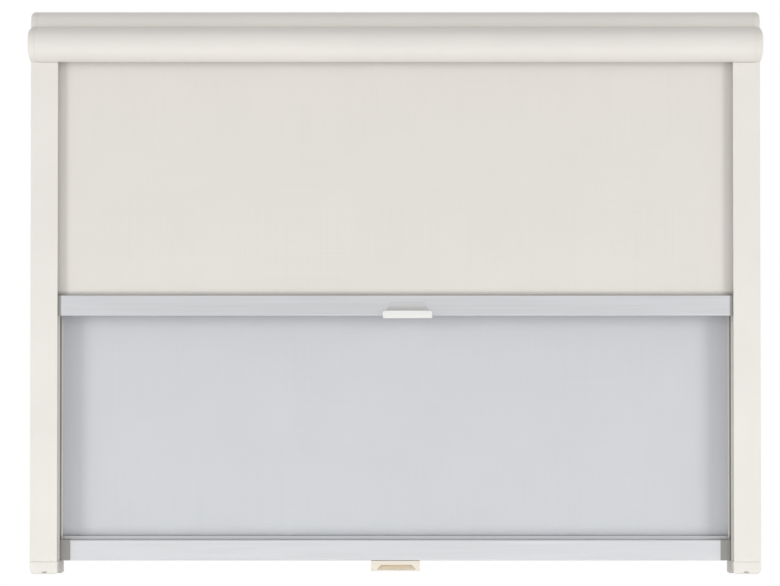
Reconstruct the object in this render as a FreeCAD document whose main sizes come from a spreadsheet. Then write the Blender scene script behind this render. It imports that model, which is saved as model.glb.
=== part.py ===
import FreeCAD, Part

import math
import os
import re

import Sketcher

# Day and night roller blind in a cassette for a small window. A pale cloth screen for the day
# and a thick cloth for the night share two guide rails, and each has its own roller and its
# own pull bar. Lengths are millimetres. X runs along the cassette, Z is up, and the wall is
# the plane Y = 0. The text below gives places as (x, out, z), where out is the distance from
# the wall into the room, so out = -Y. The origin lies on the wall, in the middle of the four
# wall screws.

SIZES = [
    ("overall_width", 790.0, "over the outer faces of the two guides"),
    ("screw_rows_apart", 574.2, "upper wall screws to lower wall screws"),
    ("screw_inset", 12.0, "wall screws to the outer face of the guide beside them"),
    ("top_over_screws", 29.0, "top of the cassette over the upper wall screws"),
    ("bottom_under_screws", 6.8, "bottom of the feet under the lower wall screws"),
    ("wall_hole_radius", 2.1, "hole for a 4 mm wall screw"),
    ("running_fit", 0.05, "radial play of a pin in its bush and a plug on its shaft"),
    ("easy_fit", 0.1, "play between pieces that are pushed together"),
    ("cloth_gap", 0.3, "roll of cloth to the stretch that hangs from it"),
    # cassette
    ("day_bulge_radius", 16.0, "outside of the cover over the day roller"),
    ("night_bulge_radius", 18.7, "outside of the cover over the night roller"),
    ("axis_drop", 21.3, "day roller's axis to the night roller's axis, down"),
    ("cover_wall", 1.2, "sheet of the extruded cover"),
    ("lip_return", 2.5, "flat lip under the night bulge, behind its axis"),
    ("cover_wall_gap", 0.3, "back edge of the cover to the wall"),
    ("rail_wall", 1.5, "sheet of the extruded back rail"),
    ("rail_top_flange", 12.0, "depth of the back rail's upper flange"),
    ("rail_bottom_flange", 4.2, "depth of the back rail's lower flange"),
    ("port_radius", 2.4, "outside of the back rail's screw ports"),
    ("port_bore", 1.2, "bore of a screw port"),
    ("port_out", 3.0, "screw port's axis from the wall"),
    ("port_sink", 0.5, "lower screw port's reach into the flange beside it"),
    ("cap_thickness", 6.5, "plate of an end cap"),
    ("cap_edge", 1.5, "rounding of an end cap's outer edge"),
    ("cap_rim_length", 6.0, "rim of an end cap that carries the cover"),
    ("cap_rim_wall", 1.5, "thickness of that rim"),
    ("seat_width", 10.5, "ledge of an end cap over the guide"),
    ("seat_height", 4.0, "height of that ledge"),
    ("seat_play", 0.5, "that ledge to the lip of the cover and to the back rail"),
    ("spigot_length", 12.0, "pegs that enter the hollow guides from both ends"),
    ("spigot_play", 0.3, "those pegs to the guides' walls"),
    ("cap_screw_radius", 1.1, "shank of an end cap screw"),
    ("cap_screw_length", 18.0, "end cap screw from its head's face to its tip"),
    ("cap_screw_head", 2.4, "countersunk head of an end cap screw"),
    ("cap_screw_slot", 0.6, "width of its driving slot"),
    # guides, from the wall outwards
    ("rear_flange", 4.8, "guide behind the screen's slot"),
    ("screen_slot", 3.0, "slot that the screen's edge runs in"),
    ("screen_lip", 1.2, "lip in front of that slot"),
    ("day_channel", 8.5, "channel for the day bar's sliders"),
    ("channel_web", 1.5, "web between the two channels"),
    ("night_channel", 9.0, "channel for the night bar's sliders"),
    ("front_lip", 2.0, "front face of the guide"),
    ("front_width", 28.8, "width of the guide's front face"),
    ("web_width", 30.4, "outer face of the guide to the web's edge"),
    ("screen_lip_width", 32.5, "outer face of the guide to the screen lip's edge"),
    ("rear_width", 32.5, "outer face of the guide to its rear edge"),
    ("night_floor", 14.0, "outer face of the guide to the night channel's floor"),
    ("day_floor", 16.0, "outer face of the guide to the day channel's floor"),
    ("slot_floor", 18.0, "outer face of the guide to the slot's floor"),
    ("guide_wall", 1.4, "inner walls of the guide"),
    # feet
    ("foot_height", 13.5, "height of a foot"),
    ("foot_plate", 3.0, "foot behind the wall screw's head"),
    ("head_room", 4.5, "radius of the recess for the wall screw's head"),
    ("foot_cap_skin", 2.0, "front of the cap that hides the wall screw"),
    ("foot_cap_wall", 1.6, "sides of that cap"),
    ("foot_corner", 3.0, "rounding of the foot cap's lower corners"),
    ("foot_stem_wall", 1.0, "wall of the ring that snaps into the recess"),
    ("foot_stem_depth", 5.0, "that ring's reach into the recess"),
    ("notch_width", 5.0, "lever notch in the foot cap"),
    ("notch_height", 3.0, "height of that notch"),
    # rollers
    ("tube_radius", 8.6, "outside of a roller tube"),
    ("tube_wall", 0.9, "wall of a roller tube"),
    ("tube_end_gap", 10.5, "end of a tube to the end cap's plate"),
    ("plug_flange", 2.0, "flange of a roller plug outside the tube"),
    ("plug_depth", 18.0, "roller plug's reach into the tube"),
    ("pin_radius", 3.0, "idler pin and fixed spring shaft"),
    ("pin_length", 7.3, "idler pin outside its flange"),
    ("boss_length", 7.0, "bearing boss on an end cap's plate"),
    ("boss_wall", 1.6, "wall of a bearing boss"),
    ("bush_wall", 0.9, "wall of a bearing bush"),
    ("shaft_length", 200.0, "fixed shaft of a spring"),
    ("shaft_flat", 2.2, "shaft's axis to the flat that stops it turning"),
    ("shaft_collar", 6.6, "collar that the spring's end hooks on"),
    ("shaft_collar_length", 7.0, "length of that collar"),
    ("spring_radius", 6.4, "outside of a spring"),
    ("spring_wire", 1.1, "wire of a spring"),
    ("spring_end_gap", 0.5, "spring to the collar and to the plug"),
    ("night_roll_radius", 10.8, "night cloth that is wound up at half height"),
    ("day_roll_radius", 9.2, "screen that stays wound up when it is let down"),
    ("night_cloth_inset", 2.0, "edge of the night cloth to the end of its tube"),
    ("screen_inset", 4.0, "edge of the day screen to the end of its tube"),
    ("night_cloth_thick", 0.35, "thickness of the night cloth"),
    ("screen_thick", 0.3, "thickness of the day screen"),
    ("night_cloth_set", 2.45, "night cloth's back to the web of the guide"),
    # pull bars
    ("bar_height", 22.1, "height of a pull bar"),
    ("bar_play", 0.3, "pull bar to the planes of its channel, each side"),
    ("bar_wall", 1.2, "wall of a pull bar"),
    ("bar_edge", 0.6, "rounding of a pull bar's long edges"),
    ("night_bar_drop", 252.7, "cassette to the top of the night bar"),
    ("night_bar_short", 4.2, "front lip's edge to the end of the night bar's metal"),
    ("day_bar_short", 13.2, "front lip's edge to the end of the day bar's metal"),
    ("rest_play", 0.1, "day bar's sliders over the feet"),
    ("fin_rise", 3.6, "fin that holds the screen, over the day bar"),
    ("fin_depth", 2.8, "thickness of that fin"),
    ("fin_drop", 5.0, "foot of the fin below the bar's top"),
    ("fin_web", 1.8, "web from the day bar to its fin"),
    ("fin_end_play", 0.3, "end of the fin to the edge of the guide"),
    ("night_welt", 1.15, "radius of the rod in the night cloth's hem"),
    ("day_welt", 0.75, "radius of the rod in the screen's hem"),
    ("welt_play", 0.15, "hem rod to its chamber"),
    ("hem_slot", 0.9, "slot that the hem comes out of"),
    ("welt_cover", 1.4, "metal over a hem chamber"),
    ("handle_slot", 3.0, "slot in the underside of a pull bar"),
    ("handle_head", 5.0, "head of a handle inside the bar"),
    ("handle_head_height", 1.6, "height of that head"),
    # sliders and brakes
    ("slider_play", 0.5, "slider to the planes of its channel, each side"),
    ("slider_end_play", 2.0, "slider to the floor of its channel"),
    ("peg_length", 12.0, "slider's peg inside the bar"),
    ("brake_length", 7.0, "brake block along the bar"),
    ("brake_height", 10.0, "brake block along the guide"),
    ("brake_thick", 2.2, "brake block across the channel"),
    ("brake_play", 0.15, "brake block to the front of its channel"),
    ("brake_inset", 1.6, "slider's end to the brake block"),
    ("leaf_thick", 0.3, "leaf spring behind a brake block"),
    ("leaf_bow", 0.9, "bow of that leaf spring"),
    # handles
    ("night_handle_centre", 13.0, "night handle's middle, to the right"),
    ("night_handle_width", 53.5, "width of the night handle's lip"),
    ("night_lip_height", 7.8, "height of that lip"),
    ("night_lip_below", 2.0, "that lip below the bar"),
    ("night_lip_out", 7.0, "that lip in front of the bar"),
    ("night_lip_corner", 2.2, "bevel of its upper corners"),
    ("scoop_width", 38.0, "width of the hollow over the lip"),
    ("scoop_height", 8.4, "height of that hollow"),
    ("scoop_skin", 0.5, "the hollow's skin on the bar's front"),
    ("scoop_slant", 2.0, "slant of the hollow's sides"),
    ("night_handle_edge", 0.8, "rounding of the lip's front edges"),
    ("day_handle_width", 52.8, "width of the day handle"),
    ("day_handle_height", 10.3, "height of the day handle"),
    ("day_handle_gap", 0.3, "day handle below the bar"),
    ("recess_top", 36.0, "width of the finger recess at its top"),
    ("recess_bottom", 43.0, "width of the finger recess at its bottom"),
    ("recess_band", 3.5, "band over the recess"),
    ("recess_sill", 1.1, "sill under the recess"),
    ("recess_depth", 3.5, "depth of the recess"),
    ("day_handle_edge", 0.5, "rounding of the day handle's edges"),
]
NAMES = {name for name, value, note in SIZES}
WORD = re.compile(r"[a-z_]+[a-z_0-9]*")

# Places that several pieces share, worked out from the sizes.
HALF = "(overall_width / 2)"
TOP = "(screw_rows_apart / 2 + top_over_screws)"
BOTTOM = "(-screw_rows_apart / 2 - bottom_under_screws)"
FOOT_TOP = f"({BOTTOM} + foot_height)"
SCREW_X = f"({HALF} - screw_inset)"
PLATE = f"({HALF} - cap_thickness)"
SLOT_FRONT = "(rear_flange + screen_slot)"
DAY_BACK = f"({SLOT_FRONT} + screen_lip)"
DAY_FRONT = f"({DAY_BACK} + day_channel)"
NIGHT_BACK = f"({DAY_FRONT} + channel_web)"
NIGHT_FRONT = f"({NIGHT_BACK} + night_channel)"
GUIDE_FRONT = f"({NIGHT_FRONT} + front_lip)"
LIP_EDGE = f"({HALF} - front_width)"
SCREEN_OUT = "(rear_flange + screen_slot / 2)"
CLOTH_OUT = f"({NIGHT_BACK} + night_cloth_set + night_cloth_thick / 2)"
DAY_OUT = f"({SCREEN_OUT} + screen_thick / 2 + cloth_gap + day_roll_radius)"
NIGHT_OUT = f"({CLOTH_OUT} + night_cloth_thick / 2 + cloth_gap + night_roll_radius)"
DAY_Z = f"({TOP} - day_bulge_radius)"
NIGHT_Z = f"({DAY_Z} - axis_drop)"
VALLEY = f"({NIGHT_Z} + night_bulge_radius)"
CASE_BOTTOM = f"({NIGHT_Z} - night_bulge_radius)"
TUBE_END = f"({PLATE} - tube_end_gap)"
NIGHT_CLOTH_WIDTH = f"(2 * ({TUBE_END} - night_cloth_inset))"
SCREEN_WIDTH = f"(2 * ({TUBE_END} - screen_inset))"
NIGHT_BAR_TOP = f"({CASE_BOTTOM} - night_bar_drop)"
DAY_BAR_TOP = f"({FOOT_TOP} + rest_play + bar_height)"
FIN_END = f"({HALF} - max(rear_width; screen_lip_width) - fin_end_play)"
PORT_TOP = f"({TOP} - cap_edge - cap_screw_head - 2 * easy_fit)"
PORT_LOW = f"({CASE_BOTTOM} + rail_wall + port_radius - port_sink)"

document = FreeCAD.newDocument("roller_blind")
sheet = document.addObject("Spreadsheet::Sheet", "sizes")
kept = {}


def fill_sheet():
    """Write each size as a name, a plain number and what it measures."""
    for row, (name, value, note) in enumerate(SIZES, 1):
        sheet.set(f"A{row}", name)
        sheet.set(f"B{row}", str(value))
        sheet.set(f"C{row}", note)
        sheet.setAlias(f"B{row}", name)
    document.recompute()


def bound(text):
    """Return the expression with the name of each size led back to the sheet."""
    return WORD.sub(lambda found: ("sizes." if found.group() in NAMES else "") + found.group(), str(text))


def worth(text):
    """Return the number that an expression stands for now."""
    value = sheet.evalExpression(bound(text))
    return float(getattr(value, "Value", value))


PLANES = {"x": "YZ_Plane", "z": "XY_Plane", "out": "XZ_Plane"}


def on_plane(along, first, second):
    """Turn a place across one direction into the two axes of the sketch plane there."""
    if along == "x":
        return f"-({first})", second
    if along == "z":
        return first, f"-({second})"
    return first, second


def place_point(sketch, side, end, across, up):
    """Tie one end of a side, or a circle's centre, to its place."""
    for kind, text in (("DistanceX", across), ("DistanceY", up)):
        tie = Sketcher.Constraint(kind, -1, 1, side, end, worth(text))
        sketch.setExpression(f"Constraints[{sketch.addConstraint(tie)}]", bound(text))


def draw_circle(sketch, along, circle):
    """Draw a circle from its centre and radius."""
    first, second, radius = circle
    across, up = on_plane(along, first, second)
    middle = FreeCAD.Vector(worth(across), worth(up), 0)
    side = sketch.addGeometry(Part.Circle(middle, FreeCAD.Vector(0, 0, 1), worth(radius)), False)
    place_point(sketch, side, 3, across, up)
    tie = sketch.addConstraint(Sketcher.Constraint("Radius", side, worth(radius)))
    sketch.setExpression(f"Constraints[{tie}]", bound(radius))


def arc_side(start, stop, centre):
    """Return the shorter arc between two points about a centre, and whether it runs from start to stop."""
    from_centre = start - centre
    to_centre = stop - centre
    forward = from_centre.cross(to_centre).z > 0
    first, last = (from_centre, to_centre) if forward else (to_centre, from_centre)
    circle = Part.Circle(centre, FreeCAD.Vector(0, 0, 1), (from_centre.Length + to_centre.Length) / 2)
    angles = [math.atan2(spoke.y, spoke.x) for spoke in (first, last)]
    if angles[1] < angles[0]:
        angles[1] += 2 * math.pi
    return Part.ArcOfCircle(circle, angles[0], angles[1]), forward


def draw_outline(sketch, along, corners):
    """Draw a closed outline. A corner with a third entry starts an arc of (radius, centre)."""
    places = [on_plane(along, corner[0], corner[1]) for corner in corners]
    points = [FreeCAD.Vector(worth(across), worth(up), 0) for across, up in places]
    starts = []
    stops = []
    arcs = []
    for number, corner in enumerate(corners):
        start = points[number]
        stop = points[(number + 1) % len(points)]
        forward = True
        piece = Part.LineSegment(start, stop)
        if len(corner) > 2:
            radius, first, second = corner[2]
            across, up = on_plane(along, first, second)
            centre = FreeCAD.Vector(worth(across), worth(up), 0)
            piece, forward = arc_side(start, stop, centre)
            arcs.append((len(starts), radius))
        side = sketch.addGeometry(piece, False)
        starts.append((side, 1 if forward else 2))
        stops.append((side, 2 if forward else 1))
    for number, (side, end) in enumerate(stops):
        after = starts[(number + 1) % len(starts)]
        sketch.addConstraint(Sketcher.Constraint("Coincident", side, end, after[0], after[1]))
    for (side, end), (across, up) in zip(starts, places):
        place_point(sketch, side, end, across, up)
    for number, radius in arcs:
        side = starts[number][0]
        tie = sketch.addConstraint(Sketcher.Constraint("Radius", side, worth(radius)))
        sketch.setExpression(f"Constraints[{tie}]", bound(radius))


def draw(body, name, along, outlines, lift):
    """Make a sketch of closed outlines and circles, square to one direction, at one height."""
    sketch = body.newObject("Sketcher::SketchObject", name)
    plane = [item for item in body.Origin.OriginFeatures if item.Role == PLANES[along]][0]
    sketch.AttachmentSupport = [(plane, "")]
    sketch.MapMode = "FlatFace"
    sketch.setExpression("AttachmentOffset.Base.z", bound(lift))
    for outline in outlines:
        if isinstance(outline, tuple):
            draw_circle(sketch, along, outline)
        else:
            draw_outline(sketch, along, outline)
    return sketch


def pad(body, name, along, outlines, start, stop):
    """Add material over the outlines, from start to stop."""
    feature = body.newObject("PartDesign::Pad", name)
    feature.Profile = draw(body, name + "_sketch", along, outlines, start)
    feature.setExpression("Length", bound(f"({stop}) - ({start})"))
    return feature


def pocket(body, name, along, outlines, start, stop):
    """Take material away under the outlines, from start to stop."""
    feature = body.newObject("PartDesign::Pocket", name)
    feature.Profile = draw(body, name + "_sketch", along, outlines, stop)
    feature.setExpression("Length", bound(f"({stop}) - ({start})"))
    return feature


def round_edges(body, name, radius, chosen):
    """Round the edges of the body's last feature whose middle the test accepts."""
    document.recompute()
    base = body.Tip
    names = []
    for number, edge in enumerate(base.Shape.Edges, 1):
        middle = edge.valueAt((edge.FirstParameter + edge.LastParameter) / 2)
        if chosen(edge, middle):
            names.append(f"Edge{number}")
    feature = body.newObject("PartDesign::Fillet", name)
    feature.Base = (base, names)
    feature.setExpression("Radius", bound(radius))
    return feature


def new_body(label):
    """Start a piece that is built from features."""
    body = document.addObject("PartDesign::Body", label)
    body.Label = label
    return body


def keep(label, item):
    """Count a finished object among the pieces that are written out."""
    item.Label = label
    kept[label] = item
    return item


def move(item, x="0", out="0", z="0"):
    """Bind an object's place."""
    item.setExpression("Placement.Base.x", bound(x))
    item.setExpression("Placement.Base.y", bound(f"-({out})"))
    item.setExpression("Placement.Base.z", bound(z))


def group(label, items):
    """Join alike pieces under one name as separate solids."""
    compound = document.addObject("Part::Compound", label)
    compound.Links = items
    return keep(label, compound)


def turned(label, corners, out, z):
    """Make a piece that is round about an axis along X, from its (x, radius) outline."""
    body = new_body(label)
    sketch = draw(body, label + "_sketch", "out", [corners], "0")
    feature = body.newObject("PartDesign::Revolution", label + "_turn")
    feature.Profile = sketch
    feature.ReferenceAxis = (sketch, ["H_Axis"])
    feature.Angle = 360
    move(body, out=out, z=z)
    return keep(label, body)


def box(first_low, first_high, second_low, second_high):
    """Return the four corners of a rectangle."""
    return [
        (first_low, second_low),
        (first_high, second_low),
        (first_high, second_high),
        (first_low, second_high),
    ]


def reach(side, near, far):
    """Return the two ends of a stretch along X on the left (-1) or the right (1)."""
    return (near, far) if side > 0 else (f"-({far})", f"-({near})")


def swing(radius, level, centre_out, centre_z):
    """Return how far out a circle of the cassette's profile is at one level."""
    return f"({centre_out} + sqrt(({radius})^2 - ({level} - {centre_z})^2))"


def front_run(inset):
    """Return the profile of the two bulges, set in from the outside, from the top to the bottom lip."""
    day = f"(day_bulge_radius - {inset})"
    night = f"(night_bulge_radius - {inset})"
    valley = f"({VALLEY} - {inset})"
    return [
        (DAY_OUT, f"{TOP} - {inset}", (day, DAY_OUT, DAY_Z)),
        (swing(day, valley, DAY_OUT, DAY_Z), valley),
        (NIGHT_OUT, valley, (night, NIGHT_OUT, NIGHT_Z)),
        (f"{NIGHT_OUT} + {night}", NIGHT_Z, (night, NIGHT_OUT, NIGHT_Z)),
        (NIGHT_OUT, f"{CASE_BOTTOM} + {inset}"),
    ]


def back_run(inset):
    """Return the same profile in the other order, from the bottom lip to the top."""
    day = f"(day_bulge_radius - {inset})"
    night = f"(night_bulge_radius - {inset})"
    valley = f"({VALLEY} - {inset})"
    return [
        (NIGHT_OUT, f"{CASE_BOTTOM} + {inset}", (night, NIGHT_OUT, NIGHT_Z)),
        (f"{NIGHT_OUT} + {night}", NIGHT_Z, (night, NIGHT_OUT, NIGHT_Z)),
        (NIGHT_OUT, valley),
        (swing(day, valley, DAY_OUT, DAY_Z), valley, (day, DAY_OUT, DAY_Z)),
        (DAY_OUT, f"{TOP} - {inset}"),
    ]


def cassette_back_rail():
    """Extruded rail on the wall, with two flanges, two screw ports and two wall screw holes."""
    body = new_body("cassette_back_rail")
    top = f"({TOP} - cover_wall - easy_fit)"
    section = [
        ("0", CASE_BOTTOM),
        ("rail_bottom_flange", CASE_BOTTOM),
        ("rail_bottom_flange", f"{CASE_BOTTOM} + rail_wall"),
        ("rail_wall", f"{CASE_BOTTOM} + rail_wall"),
        ("rail_wall", f"{top} - rail_wall"),
        ("rail_top_flange", f"{top} - rail_wall"),
        ("rail_top_flange", top),
        ("0", top),
    ]
    ends = (f"-{PLATE}", PLATE)
    pad(body, "rail_section", "x", [section], *ends)
    for name, level in (("upper", PORT_TOP), ("lower", PORT_LOW)):
        pad(body, f"{name}_port", "x", [("port_out", level, "port_radius")], *ends)
        pocket(body, f"{name}_port_bore", "x", [("port_out", level, "port_bore")], *ends)
    for name, sign in (("left", "-"), ("right", "")):
        hole = (f"{sign}{SCREW_X}", "screw_rows_apart / 2", "wall_hole_radius")
        pocket(body, f"{name}_wall_hole", "out", [hole], "0", "rail_wall")
    keep("cassette_back_rail", body)


def cassette_cover():
    """Extruded cover with a bulge over each roller, clipped on over the back rail's upper flange."""
    body = new_body("cassette_cover")
    lip = f"{NIGHT_OUT} - lip_return"
    section = [("cover_wall_gap", TOP)] + front_run("0")
    section += [(lip, CASE_BOTTOM), (lip, f"{CASE_BOTTOM} + cover_wall")]
    section += back_run("cover_wall") + [("cover_wall_gap", f"{TOP} - cover_wall")]
    pad(body, "cover_section", "x", [section], f"-{PLATE}", PLATE)
    keep("cassette_cover", body)


def end_cap(side):
    """Moulded end cap: plate, rim for the cover, ledge and pegs for the guide, and two roller seats."""
    label = "end_cap_right" if side > 0 else "end_cap_left"
    body = new_body(label)
    plate = [("0", TOP)] + front_run("0") + [("0", CASE_BOTTOM)]
    pad(body, "plate", "x", [plate], *reach(side, PLATE, HALF))
    rim = front_run("(cover_wall + easy_fit)") + back_run("(cover_wall + easy_fit + cap_rim_wall)")
    pad(body, "rim", "x", [rim], *reach(side, f"{PLATE} - cap_rim_length", PLATE))
    seat_back = "port_out + port_radius + seat_play"
    seat_front = f"{NIGHT_OUT} - lip_return - seat_play"
    seat = box(seat_back, seat_front, CASE_BOTTOM, f"{CASE_BOTTOM} + seat_height")
    pad(body, "seat", "x", [seat], *reach(side, f"{PLATE} - seat_width", PLATE))
    for name, back, front, floor in (
        ("night", NIGHT_BACK, NIGHT_FRONT, "night_floor"),
        ("day", DAY_FRONT + " - day_channel", DAY_FRONT, "day_floor"),
    ):
        near = f"{HALF} - {floor} + guide_wall + spigot_play"
        far = f"{HALF} - guide_wall - spigot_play"
        low, high = reach(side, near, far)
        peg = box(low, high, f"{back} + spigot_play", f"{front} - spigot_play")
        pad(body, f"{name}_peg", "z", [peg], f"{CASE_BOTTOM} - spigot_length", CASE_BOTTOM)
    boss_radius = "(pin_radius + running_fit + bush_wall + easy_fit / 2 + boss_wall)"
    for name, out, level in (("night", NIGHT_OUT, NIGHT_Z), ("day", DAY_OUT, DAY_Z)):
        ends = reach(side, f"{PLATE} - boss_length", PLATE)
        pad(body, f"{name}_boss", "x", [(out, level, boss_radius)], *ends)
        if side < 0:
            bore = (out, level, "pin_radius + running_fit + bush_wall + easy_fit / 2")
        else:
            bore = shaft_outline(out, level, "easy_fit / 2")
        pocket(body, f"{name}_seat_bore", "x", [bore], *ends)
    round_edges(body, "outer_edge", "cap_edge", lambda edge, middle: (
        abs(middle.x * side - worth(HALF)) < worth("easy_fit")
        and middle.y < -worth("easy_fit")
        and middle.z > worth(CASE_BOTTOM) + worth("easy_fit")
    ))
    for name, level in (("upper", PORT_TOP), ("lower", PORT_LOW)):
        hole = ("port_out", level, "cap_screw_radius + easy_fit")
        pocket(body, f"{name}_screw_hole", "x", [hole], *reach(side, PLATE, HALF))
        document.recompute()
        base = body.Tip
        sink = body.newObject("PartDesign::Chamfer", f"{name}_countersink")
        sink.Base = (base, [ring_name(base, side, level)])
        sink.setExpression("Size", bound("cap_screw_head - cap_screw_radius"))
    keep(label, body)


def ring_name(base, side, level):
    """Return the name of a screw hole's edge on the outer face of an end cap."""
    for number, edge in enumerate(base.Shape.Edges, 1):
        if not isinstance(edge.Curve, Part.Circle):
            continue
        centre = edge.Curve.Center
        if abs(centre.x * side - worth(HALF)) > worth("running_fit"):
            continue
        if math.hypot(centre.y + worth("port_out"), centre.z - worth(level)) < worth("running_fit"):
            return f"Edge{number}"
    raise ValueError("the screw hole has no edge on the outer face")


def shaft_outline(out, level, play):
    """Return the section of a shaft's end, round with one flat on top, widened by some play."""
    radius = f"(pin_radius + {play})"
    flat = f"(shaft_flat + {play})"
    half_chord = f"sqrt({radius}^2 - {flat}^2)"
    low = (out, f"{level} - {radius}")
    ring = (radius, out, level)
    return [
        (f"{out} + {half_chord}", f"{level} + {flat}", ring),
        (low[0], low[1], ring),
        (f"{out} - {half_chord}", f"{level} + {flat}"),
    ]


def end_cap_screws():
    """Four countersunk screws through the end caps into the back rail's ports."""
    screws = []
    neck = "(cap_screw_head - cap_screw_radius)"
    for number, (side, level) in enumerate(((-1, PORT_LOW), (-1, PORT_TOP), (1, PORT_LOW), (1, PORT_TOP))):
        name = f"end_cap_screw_{number + 1}"
        body = new_body(name)
        sign = "-" if side < 0 else ""
        outline = [
            (f"{sign}{HALF}", "0"),
            (f"{sign}{HALF}", "cap_screw_head - easy_fit"),
            (f"{sign}({HALF} - {neck})", "cap_screw_radius - easy_fit / 2"),
            (f"{sign}({HALF} - cap_screw_length)", "cap_screw_radius - easy_fit / 2"),
            (f"{sign}({HALF} - cap_screw_length)", "0"),
        ]
        sketch = draw(body, name + "_sketch", "out", [outline], "0")
        feature = body.newObject("PartDesign::Revolution", name + "_turn")
        feature.Profile = sketch
        feature.ReferenceAxis = (sketch, ["H_Axis"])
        feature.Angle = 360
        slot = box(
            "-cap_screw_slot / 2", "cap_screw_slot / 2", "-cap_screw_head", "cap_screw_head"
        )
        pocket(body, name + "_slot", "x", [slot], *reach(side, f"{HALF} - cap_screw_slot", HALF))
        move(body, out="port_out", z=level)
        screws.append(body)
    group("end_cap_screws", screws)


def guide_rail(side):
    """Extruded guide: two channels and the screen's slot open to the window, and three hollows."""
    label = "guide_rail_right" if side > 0 else "guide_rail_left"
    body = new_body(label)
    sign = "" if side > 0 else "-"

    def at(inward, out):
        return f"{sign}({HALF} - ({inward}))", out

    outside = [
        at("0", "0"),
        at("0", GUIDE_FRONT),
        at("front_width", GUIDE_FRONT),
        at("front_width", NIGHT_FRONT),
        at("night_floor", NIGHT_FRONT),
        at("night_floor", NIGHT_BACK),
        at("web_width", NIGHT_BACK),
        at("web_width", DAY_FRONT),
        at("day_floor", DAY_FRONT),
        at("day_floor", DAY_BACK),
        at("screen_lip_width", DAY_BACK),
        at("screen_lip_width", SLOT_FRONT),
        at("slot_floor", SLOT_FRONT),
        at("slot_floor", "rear_flange"),
        at("rear_width", "rear_flange"),
        at("rear_width", "0"),
    ]
    night_hollow = [
        at("guide_wall", NIGHT_BACK),
        at("guide_wall", NIGHT_FRONT),
        at("night_floor - guide_wall", NIGHT_FRONT),
        at("night_floor - guide_wall", NIGHT_BACK),
    ]
    day_hollow = [
        at("guide_wall", DAY_BACK),
        at("guide_wall", DAY_FRONT),
        at("day_floor - guide_wall", DAY_FRONT),
        at("day_floor - guide_wall", DAY_BACK),
    ]
    rear_hollow = [
        at("guide_wall", "guide_wall"),
        at("guide_wall", SLOT_FRONT),
        at("slot_floor - guide_wall", SLOT_FRONT),
        at("slot_floor - guide_wall", "rear_flange - guide_wall"),
        at("rear_width - guide_wall", "rear_flange - guide_wall"),
        at("rear_width - guide_wall", "guide_wall"),
    ]
    pad(body, "section", "z", [outside, night_hollow, day_hollow, rear_hollow], FOOT_TOP, CASE_BOTTOM)
    keep(label, body)


def guide_foot(side):
    """Moulded foot under a guide, with the wall screw's hole and a peg up into the guide."""
    label = "guide_foot_right" if side > 0 else "guide_foot_left"
    body = new_body(label)
    sign = "" if side > 0 else "-"
    low, high = reach(side, f"{HALF} - rear_width", HALF)
    pad(body, "block", "z", [box(low, high, "0", DAY_FRONT)], BOTTOM, FOOT_TOP)
    near, far = reach(
        side,
        f"{HALF} - day_floor + guide_wall + spigot_play",
        f"{HALF} - guide_wall - spigot_play",
    )
    peg = box(near, far, f"{DAY_BACK} + spigot_play", f"{DAY_FRONT} - spigot_play")
    pad(body, "peg", "z", [peg], FOOT_TOP, f"{FOOT_TOP} + spigot_length")
    centre = (f"{sign}{SCREW_X}", "-screw_rows_apart / 2")
    pocket(body, "head_recess", "out", [centre + ("head_room",)], "foot_plate", DAY_FRONT)
    pocket(body, "wall_hole", "out", [centre + ("wall_hole_radius",)], "0", "foot_plate")
    keep(label, body)


def foot_cap(side):
    """Moulded cap on the front of a foot. It hides the wall screw and has a notch to lever it off."""
    label = "foot_cap_right" if side > 0 else "foot_cap_left"
    body = new_body(label)
    sign = "" if side > 0 else "-"
    low, high = reach(side, LIP_EDGE, HALF)
    pad(body, "block", "z", [box(low, high, DAY_FRONT, GUIDE_FRONT)], BOTTOM, FOOT_TOP)
    inner_low, inner_high = reach(side, f"{LIP_EDGE} + foot_cap_wall", f"{HALF} - foot_cap_wall")
    hollow = box(inner_low, inner_high, f"{BOTTOM} + foot_cap_wall", f"{FOOT_TOP} - foot_cap_wall")
    pocket(body, "hollow", "out", [hollow], DAY_FRONT, f"{GUIDE_FRONT} - foot_cap_skin")
    stem = (f"{sign}{SCREW_X}", "-screw_rows_apart / 2")
    ring = [stem + ("head_room - easy_fit",), stem + ("head_room - easy_fit - foot_stem_wall",)]
    pad(body, "stem", "out", ring, f"{DAY_FRONT} - foot_stem_depth", f"{GUIDE_FRONT} - foot_cap_skin")
    middle = f"({HALF} - front_width / 2)"
    notch_low, notch_high = reach(side, f"{middle} - notch_width / 2", f"{middle} + notch_width / 2")
    notch = box(notch_low, notch_high, BOTTOM, f"{BOTTOM} + notch_height")
    pocket(body, "notch", "out", [notch], f"{GUIDE_FRONT} - foot_cap_skin", GUIDE_FRONT)
    round_edges(body, "corners", "foot_corner", lambda edge, middle: (
        abs(middle.z - worth(BOTTOM)) < worth("easy_fit")
        and abs(edge.BoundBox.YLength - edge.Length) < worth("easy_fit")
        and min(abs(abs(middle.x) - worth(HALF)), abs(abs(middle.x) - worth(LIP_EDGE))) < worth("easy_fit")
    ))
    keep(label, body)


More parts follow.
